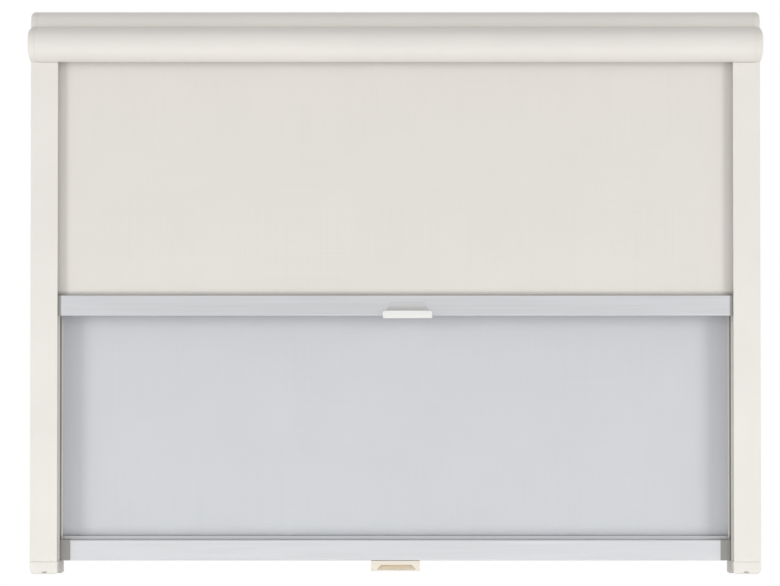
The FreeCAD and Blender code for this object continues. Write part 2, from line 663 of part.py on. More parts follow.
def roller(prefix, out, level, roll_radius, cloth_width):
    """One roller: tube, wound cloth, two end plugs, bush, fixed shaft and the spring inside."""
    inner = "(tube_radius - tube_wall)"
    turned(f"{prefix}_tube", box(f"-{TUBE_END}", TUBE_END, inner, "tube_radius"), out, level)
    wound = box(f"-{cloth_width} / 2", f"{cloth_width} / 2", "tube_radius + easy_fit / 2", roll_radius)
    turned(f"{prefix}_cloth_roll", wound, out, level)
    flange = f"({TUBE_END} + plug_flange)"
    depth = f"({TUBE_END} - plug_depth)"
    idler = [
        (f"-{depth}", "0"),
        (f"-{depth}", f"{inner} - easy_fit / 2"),
        (f"-{TUBE_END}", f"{inner} - easy_fit / 2"),
        (f"-{TUBE_END}", "tube_radius"),
        (f"-{flange}", "tube_radius"),
        (f"-{flange}", "pin_radius"),
        (f"-({flange} + pin_length)", "pin_radius"),
        (f"-({flange} + pin_length)", "0"),
    ]
    turned(f"{prefix}_idler_plug", idler, out, level)
    driven = [
        (depth, "pin_radius + running_fit"),
        (depth, f"{inner} - easy_fit / 2"),
        (TUBE_END, f"{inner} - easy_fit / 2"),
        (TUBE_END, "tube_radius"),
        (flange, "tube_radius"),
        (flange, "pin_radius + running_fit"),
    ]
    turned(f"{prefix}_spring_plug", driven, out, level)
    bush_bore = "pin_radius + running_fit"
    bush = box(f"-{PLATE}", f"-({PLATE} - boss_length)", bush_bore, f"{bush_bore} + bush_wall")
    turned(f"{prefix}_bearing_bush", bush, out, level)
    shaft_start = f"({PLATE} - shaft_length)"
    collar_end = f"({shaft_start} + shaft_collar_length)"
    shaft = [
        (shaft_start, "0"),
        (shaft_start, "shaft_collar"),
        (collar_end, "shaft_collar"),
        (collar_end, "pin_radius"),
        (PLATE, "pin_radius"),
        (PLATE, "0"),
    ]
    body = turned(f"{prefix}_spring_shaft", shaft, out, level)
    flat = box("-pin_radius * 2", "pin_radius * 2", "shaft_flat", "pin_radius * 2")
    pocket(body, f"{prefix}_flat", "x", [flat], f"{PLATE} - boss_length", PLATE)
    coil = box(
        f"{collar_end} + spring_end_gap",
        f"{depth} - spring_end_gap",
        "spring_radius - spring_wire",
        "spring_radius",
    )
    turned(f"{prefix}_torsion_spring", coil, out, level)


def hem_slot(top, centre, chamber):
    """Return the corners of a keyhole from the top of a bar down into a round hem chamber."""
    half = "(hem_slot / 2)"
    rise = f"sqrt({chamber}^2 - {half}^2)"
    heart = f"({top} - welt_cover - {chamber})"
    ring = (chamber, centre, heart)
    return [
        (f"{centre} + {half}", top),
        (f"{centre} + {half}", f"{heart} + {rise}", ring),
        (f"{centre} + {chamber}", heart, ring),
        (centre, f"{heart} - {chamber}", ring),
        (f"{centre} - {chamber}", heart, ring),
        (f"{centre} - {half}", f"{heart} + {rise}"),
        (f"{centre} - {half}", top),
    ]


def long_edges(corner_places):
    """Return a test for the edges along X that start at the given (out, z) places."""
    spots = [(worth(out), worth(z)) for out, z in corner_places]

    def chosen(edge, middle):
        if abs(edge.BoundBox.XLength - edge.Length) > worth("easy_fit"):
            return False
        return any(math.hypot(-middle.y - out, middle.z - z) < worth("easy_fit") for out, z in spots)

    return chosen


def bar_underside(front, back, bottom):
    """Return the corners of the slot in a bar's underside, from the front to the back."""
    middle = f"(({front} + {back}) / 2)"
    return middle, [
        (f"{middle} + handle_slot / 2", bottom),
        (f"{middle} + handle_slot / 2", f"{bottom} + bar_wall"),
    ], [
        (f"{middle} - handle_slot / 2", f"{bottom} + bar_wall"),
        (f"{middle} - handle_slot / 2", bottom),
    ]


def night_bar_profile():
    """Extruded bar of the night cloth, with a hem keyhole on top and the handle's slot below."""
    body = new_body("night_bar_profile")
    front = f"({NIGHT_FRONT} - bar_play)"
    back = f"({NIGHT_BACK} + bar_play)"
    chamber = "(night_welt + welt_play)"
    bottom = "(-bar_height)"
    ceiling = f"(-welt_cover - 2 * {chamber} - bar_wall)"
    middle, slot_in, slot_out = bar_underside(front, back, bottom)
    section = [(front, "0")] + hem_slot("0", CLOTH_OUT, chamber) + [(back, "0"), (back, bottom)]
    section += list(reversed(slot_out)) + [
        (f"{back} + bar_wall", f"{bottom} + bar_wall"),
        (f"{back} + bar_wall", ceiling),
        (f"{CLOTH_OUT} + {chamber} + bar_wall", ceiling),
        (f"{CLOTH_OUT} + {chamber} + bar_wall", "-bar_wall"),
        (f"{front} - bar_wall", "-bar_wall"),
        (f"{front} - bar_wall", f"{bottom} + bar_wall"),
    ] + list(reversed(slot_in)) + [(front, bottom)]
    half = f"({LIP_EDGE} - night_bar_short)"
    pad(body, "section", "x", [section], f"-{half}", half)
    corners = [(front, "0"), (back, "0"), (back, bottom), (front, bottom)]
    round_edges(body, "edges", "bar_edge", long_edges(corners))
    move(body, z=NIGHT_BAR_TOP)
    keep("night_bar_profile", body)


def day_bar_profile():
    """Extruded bar of the day screen. A longer fin behind it holds the screen's hem."""
    body = new_body("day_bar_profile")
    front = f"({DAY_FRONT} - bar_play)"
    back = f"({DAY_BACK} + bar_play)"
    bottom = "(-bar_height)"
    fin_front = f"({SCREEN_OUT} + fin_depth / 2)"
    fin_back = f"({SCREEN_OUT} - fin_depth / 2)"
    middle, slot_in, slot_out = bar_underside(front, back, bottom)
    fin = [(fin_front, "-fin_drop"), (fin_front, "fin_rise")]
    fin += hem_slot("fin_rise", SCREEN_OUT, "(day_welt + welt_play)")
    fin += [(fin_back, "fin_rise"), (fin_back, "-fin_drop")]
    pad(body, "fin", "x", [fin], f"-{FIN_END}", FIN_END)
    section = [
        (front, "0"),
        (back, "0"),
        (back, "-fin_drop + fin_web"),
        (fin_front, "-fin_drop + fin_web"),
        (fin_front, "-fin_drop"),
        (back, "-fin_drop"),
        (back, bottom),
    ] + list(reversed(slot_out)) + [
        (f"{back} + bar_wall", f"{bottom} + bar_wall"),
        (f"{back} + bar_wall", "-bar_wall"),
        (f"{front} - bar_wall", "-bar_wall"),
        (f"{front} - bar_wall", f"{bottom} + bar_wall"),
    ] + list(reversed(slot_in)) + [(front, bottom)]
    half = f"({LIP_EDGE} - day_bar_short)"
    pad(body, "section", "x", [section], f"-{half}", half)
    corners = [(front, "0"), (back, bottom), (front, bottom)]
    round_edges(body, "edges", "bar_edge", long_edges(corners))
    move(body, z=DAY_BAR_TOP)
    keep("day_bar_profile", body)


def slider(prefix, side, channel_back, channel_front, floor, short, top):
    """Moulded end of a bar. Its block runs in the guide's channel and its peg sits in the bar."""
    label = f"{prefix}_bar_slider_" + ("right" if side > 0 else "left")
    body = new_body(label)
    start = f"({LIP_EDGE} - {short})"
    stop = f"({HALF} - {floor} - slider_end_play)"
    back = f"({channel_back} + slider_play)"
    front = f"({channel_front} - slider_play)"
    pad(body, "block", "x", [box(back, front, "-bar_height", "0")], *reach(side, start, stop))
    inside = "(bar_wall + easy_fit)"
    low = f"-bar_height + {inside} + handle_head_height + easy_fit"
    high = f"-welt_cover - 2 * (night_welt + welt_play) - {inside}"
    peg = box(f"{channel_back} + bar_play + {inside}", f"{channel_front} - bar_play - {inside}", low, high)
    pad(body, "peg", "x", [peg], *reach(side, f"{start} - peg_length", start))
    pit_stop = f"({stop} - brake_inset)"
    pit_start = f"({pit_stop} - brake_length - 2 * easy_fit)"
    rear = f"({channel_front} - brake_play - brake_thick - leaf_bow - leaf_thick - easy_fit)"
    pit_low = "-(bar_height + brake_height) / 2 - easy_fit"
    pit_high = "-(bar_height - brake_height) / 2 + easy_fit"
    x_low, x_high = reach(side, pit_start, pit_stop)
    pocket(body, "brake_pit", "out", [box(x_low, x_high, pit_low, pit_high)], rear, front)
    move(body, z=top)
    keep(label, body)


def brakes(prefix, channel_front, floor, top):
    """Brake blocks in the two sliders of a bar, and the bowed leaf springs behind them."""
    blocks = []
    leaves = []
    for side in (-1, 1):
        hand = "right" if side > 0 else "left"
        stop = f"({HALF} - {floor} - slider_end_play - brake_inset - easy_fit)"
        ends = reach(side, f"{stop} - brake_length", stop)
        face = f"({channel_front} - brake_play)"
        rear = f"({face} - brake_thick)"
        low = "(-(bar_height + brake_height) / 2)"
        high = "(-(bar_height - brake_height) / 2)"
        block = new_body(f"{prefix}_brake_{hand}")
        pad(block, "block", "x", [box(rear, face, low, high)], *ends)
        move(block, z=top)
        blocks.append(block)
        leaf = new_body(f"{prefix}_leaf_{hand}")
        half = "(brake_height / 2)"
        radius = f"(({half}^2 + leaf_bow^2) / (2 * leaf_bow))"
        crown = f"({rear} - easy_fit / 2)"
        centre = f"({crown} - {radius})"
        inner = f"({radius} - leaf_thick)"
        middle = "(-bar_height / 2)"
        foot = f"({centre} + sqrt({radius}^2 - {half}^2))"
        inner_foot = f"({centre} + sqrt({inner}^2 - ({half} - leaf_thick / 2)^2))"
        strip = [
            (foot, f"{middle} - {half}", (radius, centre, middle)),
            (foot, f"{middle} + {half}"),
            (inner_foot, f"{middle} + {half} - leaf_thick / 2", (inner, centre, middle)),
            (inner_foot, f"{middle} - {half} + leaf_thick / 2"),
        ]
        pad(leaf, "strip", "x", [strip], *ends)
        move(leaf, z=top)
        leaves.append(leaf)
    group(f"{prefix}_brake_blocks", blocks)
    group(f"{prefix}_leaf_springs", leaves)


def handle_stem(body, middle, bottom, drop):
    """Add the neck and the head that hold a handle in the slot of its bar."""
    width = "(scoop_width / 2)"
    neck = "(handle_slot / 2 - easy_fit)"
    pad(
        body, "neck", "x",
        [box(f"{middle} - {neck}", f"{middle} + {neck}", f"{bottom} - {drop}", f"{bottom} + bar_wall + easy_fit")],
        f"-{width}", width,
    )
    head = "(handle_head / 2)"
    floor = f"{bottom} + bar_wall + easy_fit"
    pad(
        body, "head", "x",
        [box(f"{middle} - {head}", f"{middle} + {head}", floor, f"{floor} + handle_head_height")],
        f"-{width}", width,
    )


def night_handle():
    """Moulded pull of the night bar: a lip to grip and a hollow over it, held in the bar's slot."""
    body = new_body("night_handle")
    front = f"({NIGHT_FRONT} - bar_play)"
    back = f"({NIGHT_BACK} + bar_play)"
    middle = f"(({front} + {back}) / 2)"
    face = f"({front} + night_lip_out)"
    skin = f"({front} + easy_fit)"
    low = "(-bar_height - night_lip_below)"
    lip_top = f"({low} + night_lip_height)"
    half = "(night_handle_width / 2)"
    lip = [
        (f"-{half}", low),
        (half, low),
        (half, f"{lip_top} - night_lip_corner"),
        (f"{half} - night_lip_corner", lip_top),
        (f"-({half} - night_lip_corner)", lip_top),
        (f"-{half}", f"{lip_top} - night_lip_corner"),
    ]
    pad(body, "lip", "out", [lip], skin, face)
    under = box(f"-{half}", half, low, "-bar_height - easy_fit")
    pad(body, "under", "out", [under], f"{middle} - handle_slot / 2", skin)
    deep = "(night_lip_out - easy_fit - scoop_skin)"
    rise = "scoop_height"
    turn = f"(({deep}^2 + {rise}^2) / (2 * {deep}))"
    hollow = [
        (skin, lip_top),
        (face, lip_top, (turn, f"{skin} + scoop_skin + {turn}", f"{lip_top} + {rise}")),
        (f"{skin} + scoop_skin", f"{lip_top} + {rise}"),
        (skin, f"{lip_top} + {rise}"),
    ]
    pad(body, "scoop", "x", [hollow], "-scoop_width / 2", "scoop_width / 2")
    for sign in ("", "-"):
        trim = [
            (f"{sign}scoop_width / 2", lip_top),
            (f"{sign}scoop_width / 2", f"{lip_top} + {rise}"),
            (f"{sign}(scoop_width / 2 - scoop_slant)", f"{lip_top} + {rise}"),
        ]
        name = "trim_right" if sign == "" else "trim_left"
        pocket(body, name, "out", [trim], skin, face)
    handle_stem(body, middle, "(-bar_height)", "easy_fit")
    round_edges(body, "lip_edge", "night_handle_edge", lambda edge, place: (
        abs(-place.y - worth(face)) < worth("easy_fit")
        and place.z < worth(lip_top) - worth("easy_fit")
    ))
    move(body, x="night_handle_centre", z=NIGHT_BAR_TOP)
    keep("night_handle", body)


def day_handle():
    """Moulded pull under the day bar, with a slanted finger recess, held in the bar's slot."""
    body = new_body("day_handle")
    front = f"({DAY_FRONT} - bar_play)"
    back = f"({DAY_BACK} + bar_play)"
    middle = f"(({front} + {back}) / 2)"
    top = "(-bar_height - day_handle_gap)"
    low = f"({top} - day_handle_height)"
    half = "(day_handle_width / 2)"
    pad(body, "block", "out", [box(f"-{half}", half, low, top)], back, front)
    recess = [
        ("-recess_bottom / 2", f"{low} + recess_sill"),
        ("recess_bottom / 2", f"{low} + recess_sill"),
        ("recess_top / 2", f"{top} - recess_band"),
        ("-recess_top / 2", f"{top} - recess_band"),
    ]
    pocket(body, "recess", "out", [recess], f"{front} - recess_depth", front)
    round_edges(body, "edge", "day_handle_edge", lambda edge, place: (
        abs(-place.y - worth(front)) < worth("easy_fit")
        and (abs(abs(place.x) - worth(half)) < worth("easy_fit") or abs(place.z - worth(low)) < worth("easy_fit")
             or abs(place.z - worth(top)) < worth("easy_fit"))
    ))
    handle_stem(body, middle, "(-bar_height)", "day_handle_gap")
    move(body, z=DAY_BAR_TOP)
    keep("day_handle", body)


def hem(label, centre, radius, thick, bar_top, top, half):
    """Rod in a hem's chamber with the cloth that goes round it, up to the top of the slot."""
    body = new_body(label)
    heart = f"({top} - welt_cover - {radius} - welt_play)"
    pad(body, "rod", "x", [(centre, heart, radius)], f"-{half}", half)
    tongue = box(f"{centre} - {thick} / 2", f"{centre} + {thick} / 2", heart, top)
    pad(body, "tongue", "x", [tongue], f"-{half}", half)
    move(body, z=bar_top)
    keep(label, body)


def hanging(label, centre, thick, width, low, high):
    """Flat stretch of cloth between its roller and its bar."""
    sheet_box = document.addObject("Part::Box", label)
    sheet_box.setExpression("Length", bound(width))
    sheet_box.setExpression("Width", bound(thick))
    sheet_box.setExpression("Height", bound(f"{high} - ({low})"))
    move(sheet_box, x=f"-{width} / 2", out=f"{centre} + {thick} / 2", z=low)
    keep(label, sheet_box)


def check_pieces():
    """Stop at any object that failed, and at any piece without one sound shape."""
    for item in document.Objects:
        if "Invalid" in item.State or "Error" in item.State:
            raise ValueError(f"{item.Label} failed: {item.State}")
    for label, item in kept.items():
        if item.Shape.isNull() or not item.Shape.isValid() or item.Shape.Volume <= 0:
            raise ValueError(f"{label} has no sound shape")


def write_pieces():
    """Write each piece to a file of its own and print its volume and corners."""
    os.makedirs("parts", exist_ok=True)
    for label, item in kept.items():
        item.Shape.exportStep(f"parts/{label}.step")
        bounds = item.Shape.BoundBox
        corners = (bounds.XMin, bounds.YMin, bounds.ZMin, bounds.XMax, bounds.YMax, bounds.ZMax)
        text = " ".join(f"{value:.2f}" for value in corners)
        print(f"{label}: {len(item.Shape.Solids)} solids, {item.Shape.Volume:.1f} mm3, {text}")


fill_sheet()
cassette_back_rail()
cassette_cover()
end_cap(-1)
end_cap(1)
end_cap_screws()
for hand in (-1, 1):
    guide_rail(hand)
    guide_foot(hand)
    foot_cap(hand)
roller("night", NIGHT_OUT, NIGHT_Z, "night_roll_radius", NIGHT_CLOTH_WIDTH)
roller("day", DAY_OUT, DAY_Z, "day_roll_radius", SCREEN_WIDTH)
night_bar_profile()
day_bar_profile()
for hand in (-1, 1):
    slider("night", hand, NIGHT_BACK, NIGHT_FRONT, "night_floor", "night_bar_short", NIGHT_BAR_TOP)
    slider("day", hand, DAY_BACK, DAY_FRONT, "day_floor", "day_bar_short", DAY_BAR_TOP)
brakes("night", NIGHT_FRONT, "night_floor", NIGHT_BAR_TOP)
brakes("day", DAY_FRONT, "day_floor", DAY_BAR_TOP)
night_handle()
day_handle()
hem("night_cloth_hem", CLOTH_OUT, "night_welt", "night_cloth_thick", NIGHT_BAR_TOP, "0",
    f"({LIP_EDGE} - night_bar_short - 2 * easy_fit)")
hem("day_screen_hem", SCREEN_OUT, "day_welt", "screen_thick", DAY_BAR_TOP, "fin_rise",
    f"({FIN_END} - 2 * easy_fit)")
hanging("night_cloth", CLOTH_OUT, "night_cloth_thick", NIGHT_CLOTH_WIDTH, NIGHT_BAR_TOP, NIGHT_Z)
hanging("day_screen", SCREEN_OUT, "screen_thick", SCREEN_WIDTH, f"{DAY_BAR_TOP} + fin_rise", DAY_Z)
document.recompute()
check_pieces()
write_pieces()
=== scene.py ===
import math

import bmesh
import bpy
import numpy as np
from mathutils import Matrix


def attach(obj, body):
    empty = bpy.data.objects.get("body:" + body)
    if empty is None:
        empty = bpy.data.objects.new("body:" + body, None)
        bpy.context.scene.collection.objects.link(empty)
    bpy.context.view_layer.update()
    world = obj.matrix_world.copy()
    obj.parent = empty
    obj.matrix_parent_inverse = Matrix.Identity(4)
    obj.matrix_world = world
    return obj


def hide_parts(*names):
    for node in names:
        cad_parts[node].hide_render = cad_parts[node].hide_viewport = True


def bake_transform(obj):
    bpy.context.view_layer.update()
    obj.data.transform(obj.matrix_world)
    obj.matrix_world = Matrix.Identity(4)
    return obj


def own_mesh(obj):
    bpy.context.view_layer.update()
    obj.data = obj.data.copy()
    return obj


# A day and night roller blind in a cassette for a small window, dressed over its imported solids.
# Lengths are metres. X runs along the cassette, Z is up, and the wall is the plane Y = 0, with
# the room on the side of -Y. The text calls the distance from the wall, -Y, out.

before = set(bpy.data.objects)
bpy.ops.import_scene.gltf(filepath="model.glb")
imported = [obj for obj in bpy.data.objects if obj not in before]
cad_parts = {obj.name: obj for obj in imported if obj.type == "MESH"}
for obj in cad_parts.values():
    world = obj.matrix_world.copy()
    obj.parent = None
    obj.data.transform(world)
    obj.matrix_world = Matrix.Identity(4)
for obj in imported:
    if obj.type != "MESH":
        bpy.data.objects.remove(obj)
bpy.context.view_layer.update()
MM = 0.001


# The back rail is an aluminium extrusion with two flanges and two screw ports, screwed to the
# wall. It carries the cover. It is powder coated in the same cream as the cover and the guides.


def add(tree, kind, inputs=None, **settings):
    """Add a node. Each input, by name or number, is a socket to link or a plain value."""
    made = tree.nodes.new(kind)
    for name, value in settings.items():
        setattr(made, name, value)
    for key, value in (inputs or {}).items():
        if isinstance(value, bpy.types.NodeSocket):
            tree.links.new(value, made.inputs[key])
        else:
            made.inputs[key].default_value = value
    return made


def maths(tree, operation, first, second=0.0):
    """Return the result of one sum on two values."""
    return add(tree, "ShaderNodeMath", {0: first, 1: second}, operation=operation).outputs[0]


def spread(tree, value, low, high, new_low, new_high):
    """Return a value carried from one range to another and held within it."""
    ends = {0: value, 1: low, 2: high, 3: new_low, 4: new_high}
    return add(tree, "ShaderNodeMapRange", ends).outputs[0]


def noise(tree, place, scale, detail=2.0):
    """Return smooth noise from 0 to 1, with this many swells to a metre."""
    inputs = {"Vector": place, "Scale": scale, "Detail": detail}
    return add(tree, "ShaderNodeTexNoise", inputs).outputs[0]


def stretched(tree, place, x, y, z):
    """Return a place with each direction scaled by itself."""
    return add(tree, "ShaderNodeVectorMath", {0: place, 1: (x, y, z)}, operation="MULTIPLY").outputs[0]


def scaled(tree, colour, level):
    """Return a colour made lighter or darker by a factor."""
    made = add(tree, "ShaderNodeVectorMath", {0: colour, "Scale": level}, operation="SCALE")
    return made.outputs[0]


def mixed(tree, share, first, second):
    """Return the mix of two colours, all of the second where the share is 1."""
    made = add(tree, "ShaderNodeMix", {0: share, 6: first, 7: second}, data_type="RGBA")
    return made.outputs[2]


def raised(tree, height, distance):
    """Return the normal of a skin that rises by a distance where the height is 1."""
    return add(tree, "ShaderNodeBump", {"Distance": distance, "Height": height}).outputs[0]


def new_group(name, *inputs):
    """Start a node group of one finish. It takes a place, a colour, a roughness and further inputs, each
    a name, a kind and a plain value."""
    tree = bpy.data.node_groups.new(name, "ShaderNodeTree")
    sockets = (("Place", "Vector", None), ("Colour", "Color", None), ("Rough", "Float", 0.4)) + inputs
    for label, kind, value in sockets:
        made = tree.interface.new_socket(name=label, in_out="INPUT", socket_type="NodeSocket" + kind)
        if value is not None:
            made.default_value = value
    for label, kind in (("Colour", "Color"), ("Roughness", "Float"), ("Normal", "Vector")):
        tree.interface.new_socket(name=label, in_out="OUTPUT", socket_type="NodeSocket" + kind)
    return tree, tree.nodes.new("NodeGroupInput").outputs


def end_group(tree, colour, roughness, normal):
    """Lead the results of a finish to the group's outputs."""
    result = tree.nodes.new("NodeGroupOutput").inputs
    for label, socket in (("Colour", colour), ("Roughness", roughness), ("Normal", normal)):
        tree.links.new(socket, result[label])
    return tree


def powder_coat():
    """Powder coat: fine noise lifts the skin as orange peel, broad noise shifts its shade and gloss."""
    tree, given = new_group("powder_coat", ("Peel", "Float", 6e-6))
    broad = noise(tree, given["Place"], 11.0, 3.0)
    fine = noise(tree, given["Place"], 850.0)
    shade = scaled(tree, given["Colour"], spread(tree, broad, 0.3, 0.7, 0.975, 1.01))
    rough = maths(tree, "ADD", given["Rough"], spread(tree, broad, 0.3, 0.7, -0.05, 0.05))
    return end_group(tree, shade, rough, raised(tree, fine, given["Peel"]))


def start_material(name, **plain):
    """Start a material. Values that are the same all over are set on the shader's own sockets."""
    material = bpy.data.materials.new(name)
    material.use_nodes = True
    tree = material.node_tree
    shader = tree.nodes["Principled BSDF"]
    for label, value in plain.items():
        shader.inputs[label.replace("_", " ")].default_value = value
    return material, tree, shader, tree.nodes.new("ShaderNodeTexCoord").outputs["Object"]


def use(tree, shader, group, **inputs):
    """Place a finish in a material and lead its results to the shader."""
    placed = add(tree, "ShaderNodeGroup", inputs, node_tree=group)
    for label, target in (("Colour", "Base Color"), ("Roughness", "Roughness"), ("Normal", "Normal")):
        tree.links.new(placed.outputs[label], shader.inputs[target])


def dress(material, *names):
    """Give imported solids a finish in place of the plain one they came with."""
    for name in names:
        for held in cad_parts[name].material_slots:
            held.material = material


POWDER = powder_coat()
CREAM = (0.80, 0.772, 0.728, 1.0)
cream_coat, tree, shader, place = start_material("cream_coat", Coat_Weight=0.1, Coat_Roughness=0.25)
use(tree, shader, POWDER, Place=place, Colour=CREAM, Rough=0.42)
dress(cream_coat, "cassette_back_rail")


# The cover is a thin aluminium extrusion. A small bulge goes over the day roller at the back and
# a larger one over the night roller in front, with a crease between them. It clips on over the
# back rail, and its ends are eased a little where they meet the end caps.

COVER_HALF = 388.5 * MM
COVER_WALL = 1.2 * MM
DAY_AXIS = np.array((15.95, 300.1)) * MM
DAY_BULGE = 16.0 * MM
NIGHT_AXIS = np.array((32.9, 278.8)) * MM
NIGHT_BULGE = 18.7 * MM
COVER_BACK = 0.3 * MM
COVER_LIP = 30.4 * MM
COVER_LIP_ROUND = 0.2 * MM
CREASE_FILLET = 0.25 * MM
CREASE_BEFORE = 1.2
CREASE_BEHIND = 1.5
COVER_EDGE = 0.3 * MM
SHARP = 32.0
TOP = DAY_AXIS[1] + DAY_BULGE
VALLEY = NIGHT_AXIS[1] + NIGHT_BULGE
LOWEST = NIGHT_AXIS[1] - NIGHT_BULGE


def arc(centre, radius, first, last, steps):
    """Points of a circle: the centre plus the radius times the cosine and sine of even angles."""
    angle = np.radians(np.linspace(first, last, steps))
    return centre + radius * np.stack([np.cos(angle), np.sin(angle)], -1)


def grid_faces(rows, columns, closed=False):
    """Four-sided faces between neighbours in a grid. Closed joins the last column to the first."""
    row, column = np.meshgrid(
        np.arange(rows - 1), np.arange(columns if closed else columns - 1), indexing="ij"
    )
    after = (column + 1) % columns
    corners = [row * columns + column, row * columns + after]
    corners += [(row + 1) * columns + after, (row + 1) * columns + column]
    return np.stack(corners, -1).reshape(-1, 4)


def put(label, points, faces, material, sharp=SHARP, outwards=True):
    """Make an object of points and faces, with its faces outwards and edges past an angle sharp."""
    mesh = bpy.data.meshes.new(label)
    mesh.from_pydata(np.reshape(points, (-1, 3)).tolist(), [], [list(face) for face in faces])
    if outwards:
        shape = bmesh.new()
        shape.from_mesh(mesh)
        bmesh.ops.recalc_face_normals(shape, faces=shape.faces)
        shape.to_mesh(mesh)
        shape.free()
    mesh.shade_smooth()
    mesh.set_sharp_from_angle(angle=math.radians(sharp))
    mesh.materials.append(material)
    made = bpy.data.objects.new(label, mesh)
    bpy.context.scene.collection.objects.link(made)
    return made


def stand_for(piece, body, slot, *nodes):
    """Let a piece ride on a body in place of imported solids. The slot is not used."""
    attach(piece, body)
    if nodes:
        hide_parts(*nodes)


def eased_in(outline, amount):
    """The outline moved inwards: each point goes against its normal, square to its two neighbours."""
    run = np.roll(outline, -1, axis=0) - np.roll(outline, 1, axis=0)
    normal = np.stack([run[:, 1], -run[:, 0]], -1)
    normal /= np.linalg.norm(normal, axis=1, keepdims=True)
    ahead = np.roll(outline, -1, axis=0)
    area = np.sum(outline[:, 0] * ahead[:, 1] - ahead[:, 0] * outline[:, 1])
    return outline - normal * amount * np.sign(area)


def ringed(label, rings, material, sharp=SHARP):
    """A skin through closed rings of points, each as long as the next, with a face on either end."""
    rows, count = len(rings), len(rings[0])
    last = (rows - 1) * count
    faces = grid_faces(rows, count, closed=True).tolist()
    faces += [list(range(count)), list(range(last, last + count))]
    return put(label, rings, faces, material, sharp)


def carried_along_x(label, outline, stations, material, sharp=SHARP):
    """An outline of (out, z) carried along X through stations of (x, how far it is eased in)."""
    rings = []
    for x, inset in stations:
        ring = eased_in(outline, inset) if inset else outline
        rings.append(np.stack([np.full(len(ring), x), -ring[:, 0], ring[:, 1]], -1))
    return ringed(label, np.array(rings), material, sharp)


def eased_ends(middle, half, edge):
    """The four stations of a length of X whose two ends are eased in by an edge."""
    first, last = middle - half, middle + half
    return [(first, edge), (first + edge, 0.0), (last - edge, 0.0), (last, edge)]


def cover_outline():
    """Both bulges from the back edge to the lip, then back along the inside, one wall further in. The
    small bulge's arc stops some degrees before the crease, one point a little outside it fills the
    crease, and the large bulge's arc starts some degrees behind its own top."""
    crease = math.degrees(math.asin((VALLEY - DAY_AXIS[1]) / DAY_BULGE))
    inside = VALLEY - COVER_WALL
    meet = math.degrees(math.asin((inside - DAY_AXIS[1]) / (DAY_BULGE - COVER_WALL)))
    lip_top = LOWEST + COVER_WALL
    return np.concatenate([
        [(COVER_BACK, TOP)],
        arc(DAY_AXIS, DAY_BULGE, 90.0, crease + CREASE_BEFORE, 40),
        arc(DAY_AXIS, DAY_BULGE + CREASE_FILLET, crease, crease, 1),
        arc(NIGHT_AXIS, NIGHT_BULGE, 90.0 + CREASE_BEHIND, -90.0, 84),
        [(COVER_LIP + COVER_LIP_ROUND, LOWEST), (COVER_LIP, LOWEST + COVER_LIP_ROUND)],
        [(COVER_LIP, lip_top - COVER_LIP_ROUND), (COVER_LIP + COVER_LIP_ROUND, lip_top)],
        arc(NIGHT_AXIS, NIGHT_BULGE - COVER_WALL, -90.0, 90.0, 60),
        arc(DAY_AXIS, DAY_BULGE - COVER_WALL, meet, 90.0, 30),
        [(COVER_BACK, TOP - COVER_WALL)],
    ])


cover = carried_along_x("cover", cover_outline(), eased_ends(0.0, COVER_HALF, COVER_EDGE), cream_coat)
stand_for(cover, "blind_frame", "cream_paint", "cassette_cover")


# Two moulded end caps close the cassette and sit on the guides. Two countersunk steel screws
# hold each to the back rail's ports. The plastic is matched to the paint and finely grained, and
# the ends of both bulges are domed, more so near their tops.

CAP_PLATE = COVER_HALF
CAP_THICK = 6.5 * MM
CROWN = 0.45 * MM
DAY_DOME_DEEP = 2.9 * MM
DAY_DOME_LONG = 6.0 * MM
NIGHT_DOME_DEEP = 3.4 * MM
NIGHT_DOME_LONG = 10.0 * MM
DOME_START = 31.0 * MM
DOME_FULL = 38.0 * MM
HAIR = 0.02 * MM
WELD = 0.001 * MM
FLAT_ANGLE = 0.5
ZINC = (0.62, 0.62, 0.6, 1.0)


def moulding():
    """Moulded plastic: fine noise as the grain of the mould, and slow swirls where it flowed."""
    tree, given = new_group("moulding", ("Grain", "Float", 5e-6), ("Swirl", "Float", 0.5))
    swirl = maths(tree, "SUBTRACT", noise(tree, given["Place"], 35.0, 4.0), 0.5)
    swirl = maths(tree, "MULTIPLY", swirl, given["Swirl"])
    fine = noise(tree, given["Place"], 2600.0, 1.0)
    shade = scaled(tree, given["Colour"], spread(tree, swirl, -0.2, 0.2, 0.97, 1.02))
    rough = maths(tree, "ADD", given["Rough"], spread(tree, swirl, -0.2, 0.2, -0.06, 0.06))
    return end_group(tree, shade, rough, raised(tree, fine, given["Grain"]))


def drawn_metal():
    """Turned or drawn metal: noise in long thin streaks marks the skin along one direction."""
    tree, given = new_group("drawn_metal", ("Streaks", "Float", 1.5e-6))
    streak = noise(tree, given["Place"], 1.0, 3.0)
    cloud = noise(tree, given["Place"], 0.05, 2.0)
    both = maths(tree, "ADD", maths(tree, "MULTIPLY", streak, 0.6), maths(tree, "MULTIPLY", cloud, 0.4))
    shade = scaled(tree, given["Colour"], spread(tree, both, 0.3, 0.7, 0.94, 1.04))
    rough = maths(tree, "ADD", given["Rough"], spread(tree, streak, 0.3, 0.7, -0.05, 0.07))
    return end_group(tree, shade, rough, raised(tree, streak, given["Streaks"]))


MOULDED = moulding()
DRAWN = drawn_metal()
cream_plastic, tree, shader, place = start_material("cream_plastic", Specular_IOR_Level=0.4)
use(tree, shader, MOULDED, Place=place, Colour=CREAM, Rough=0.46)


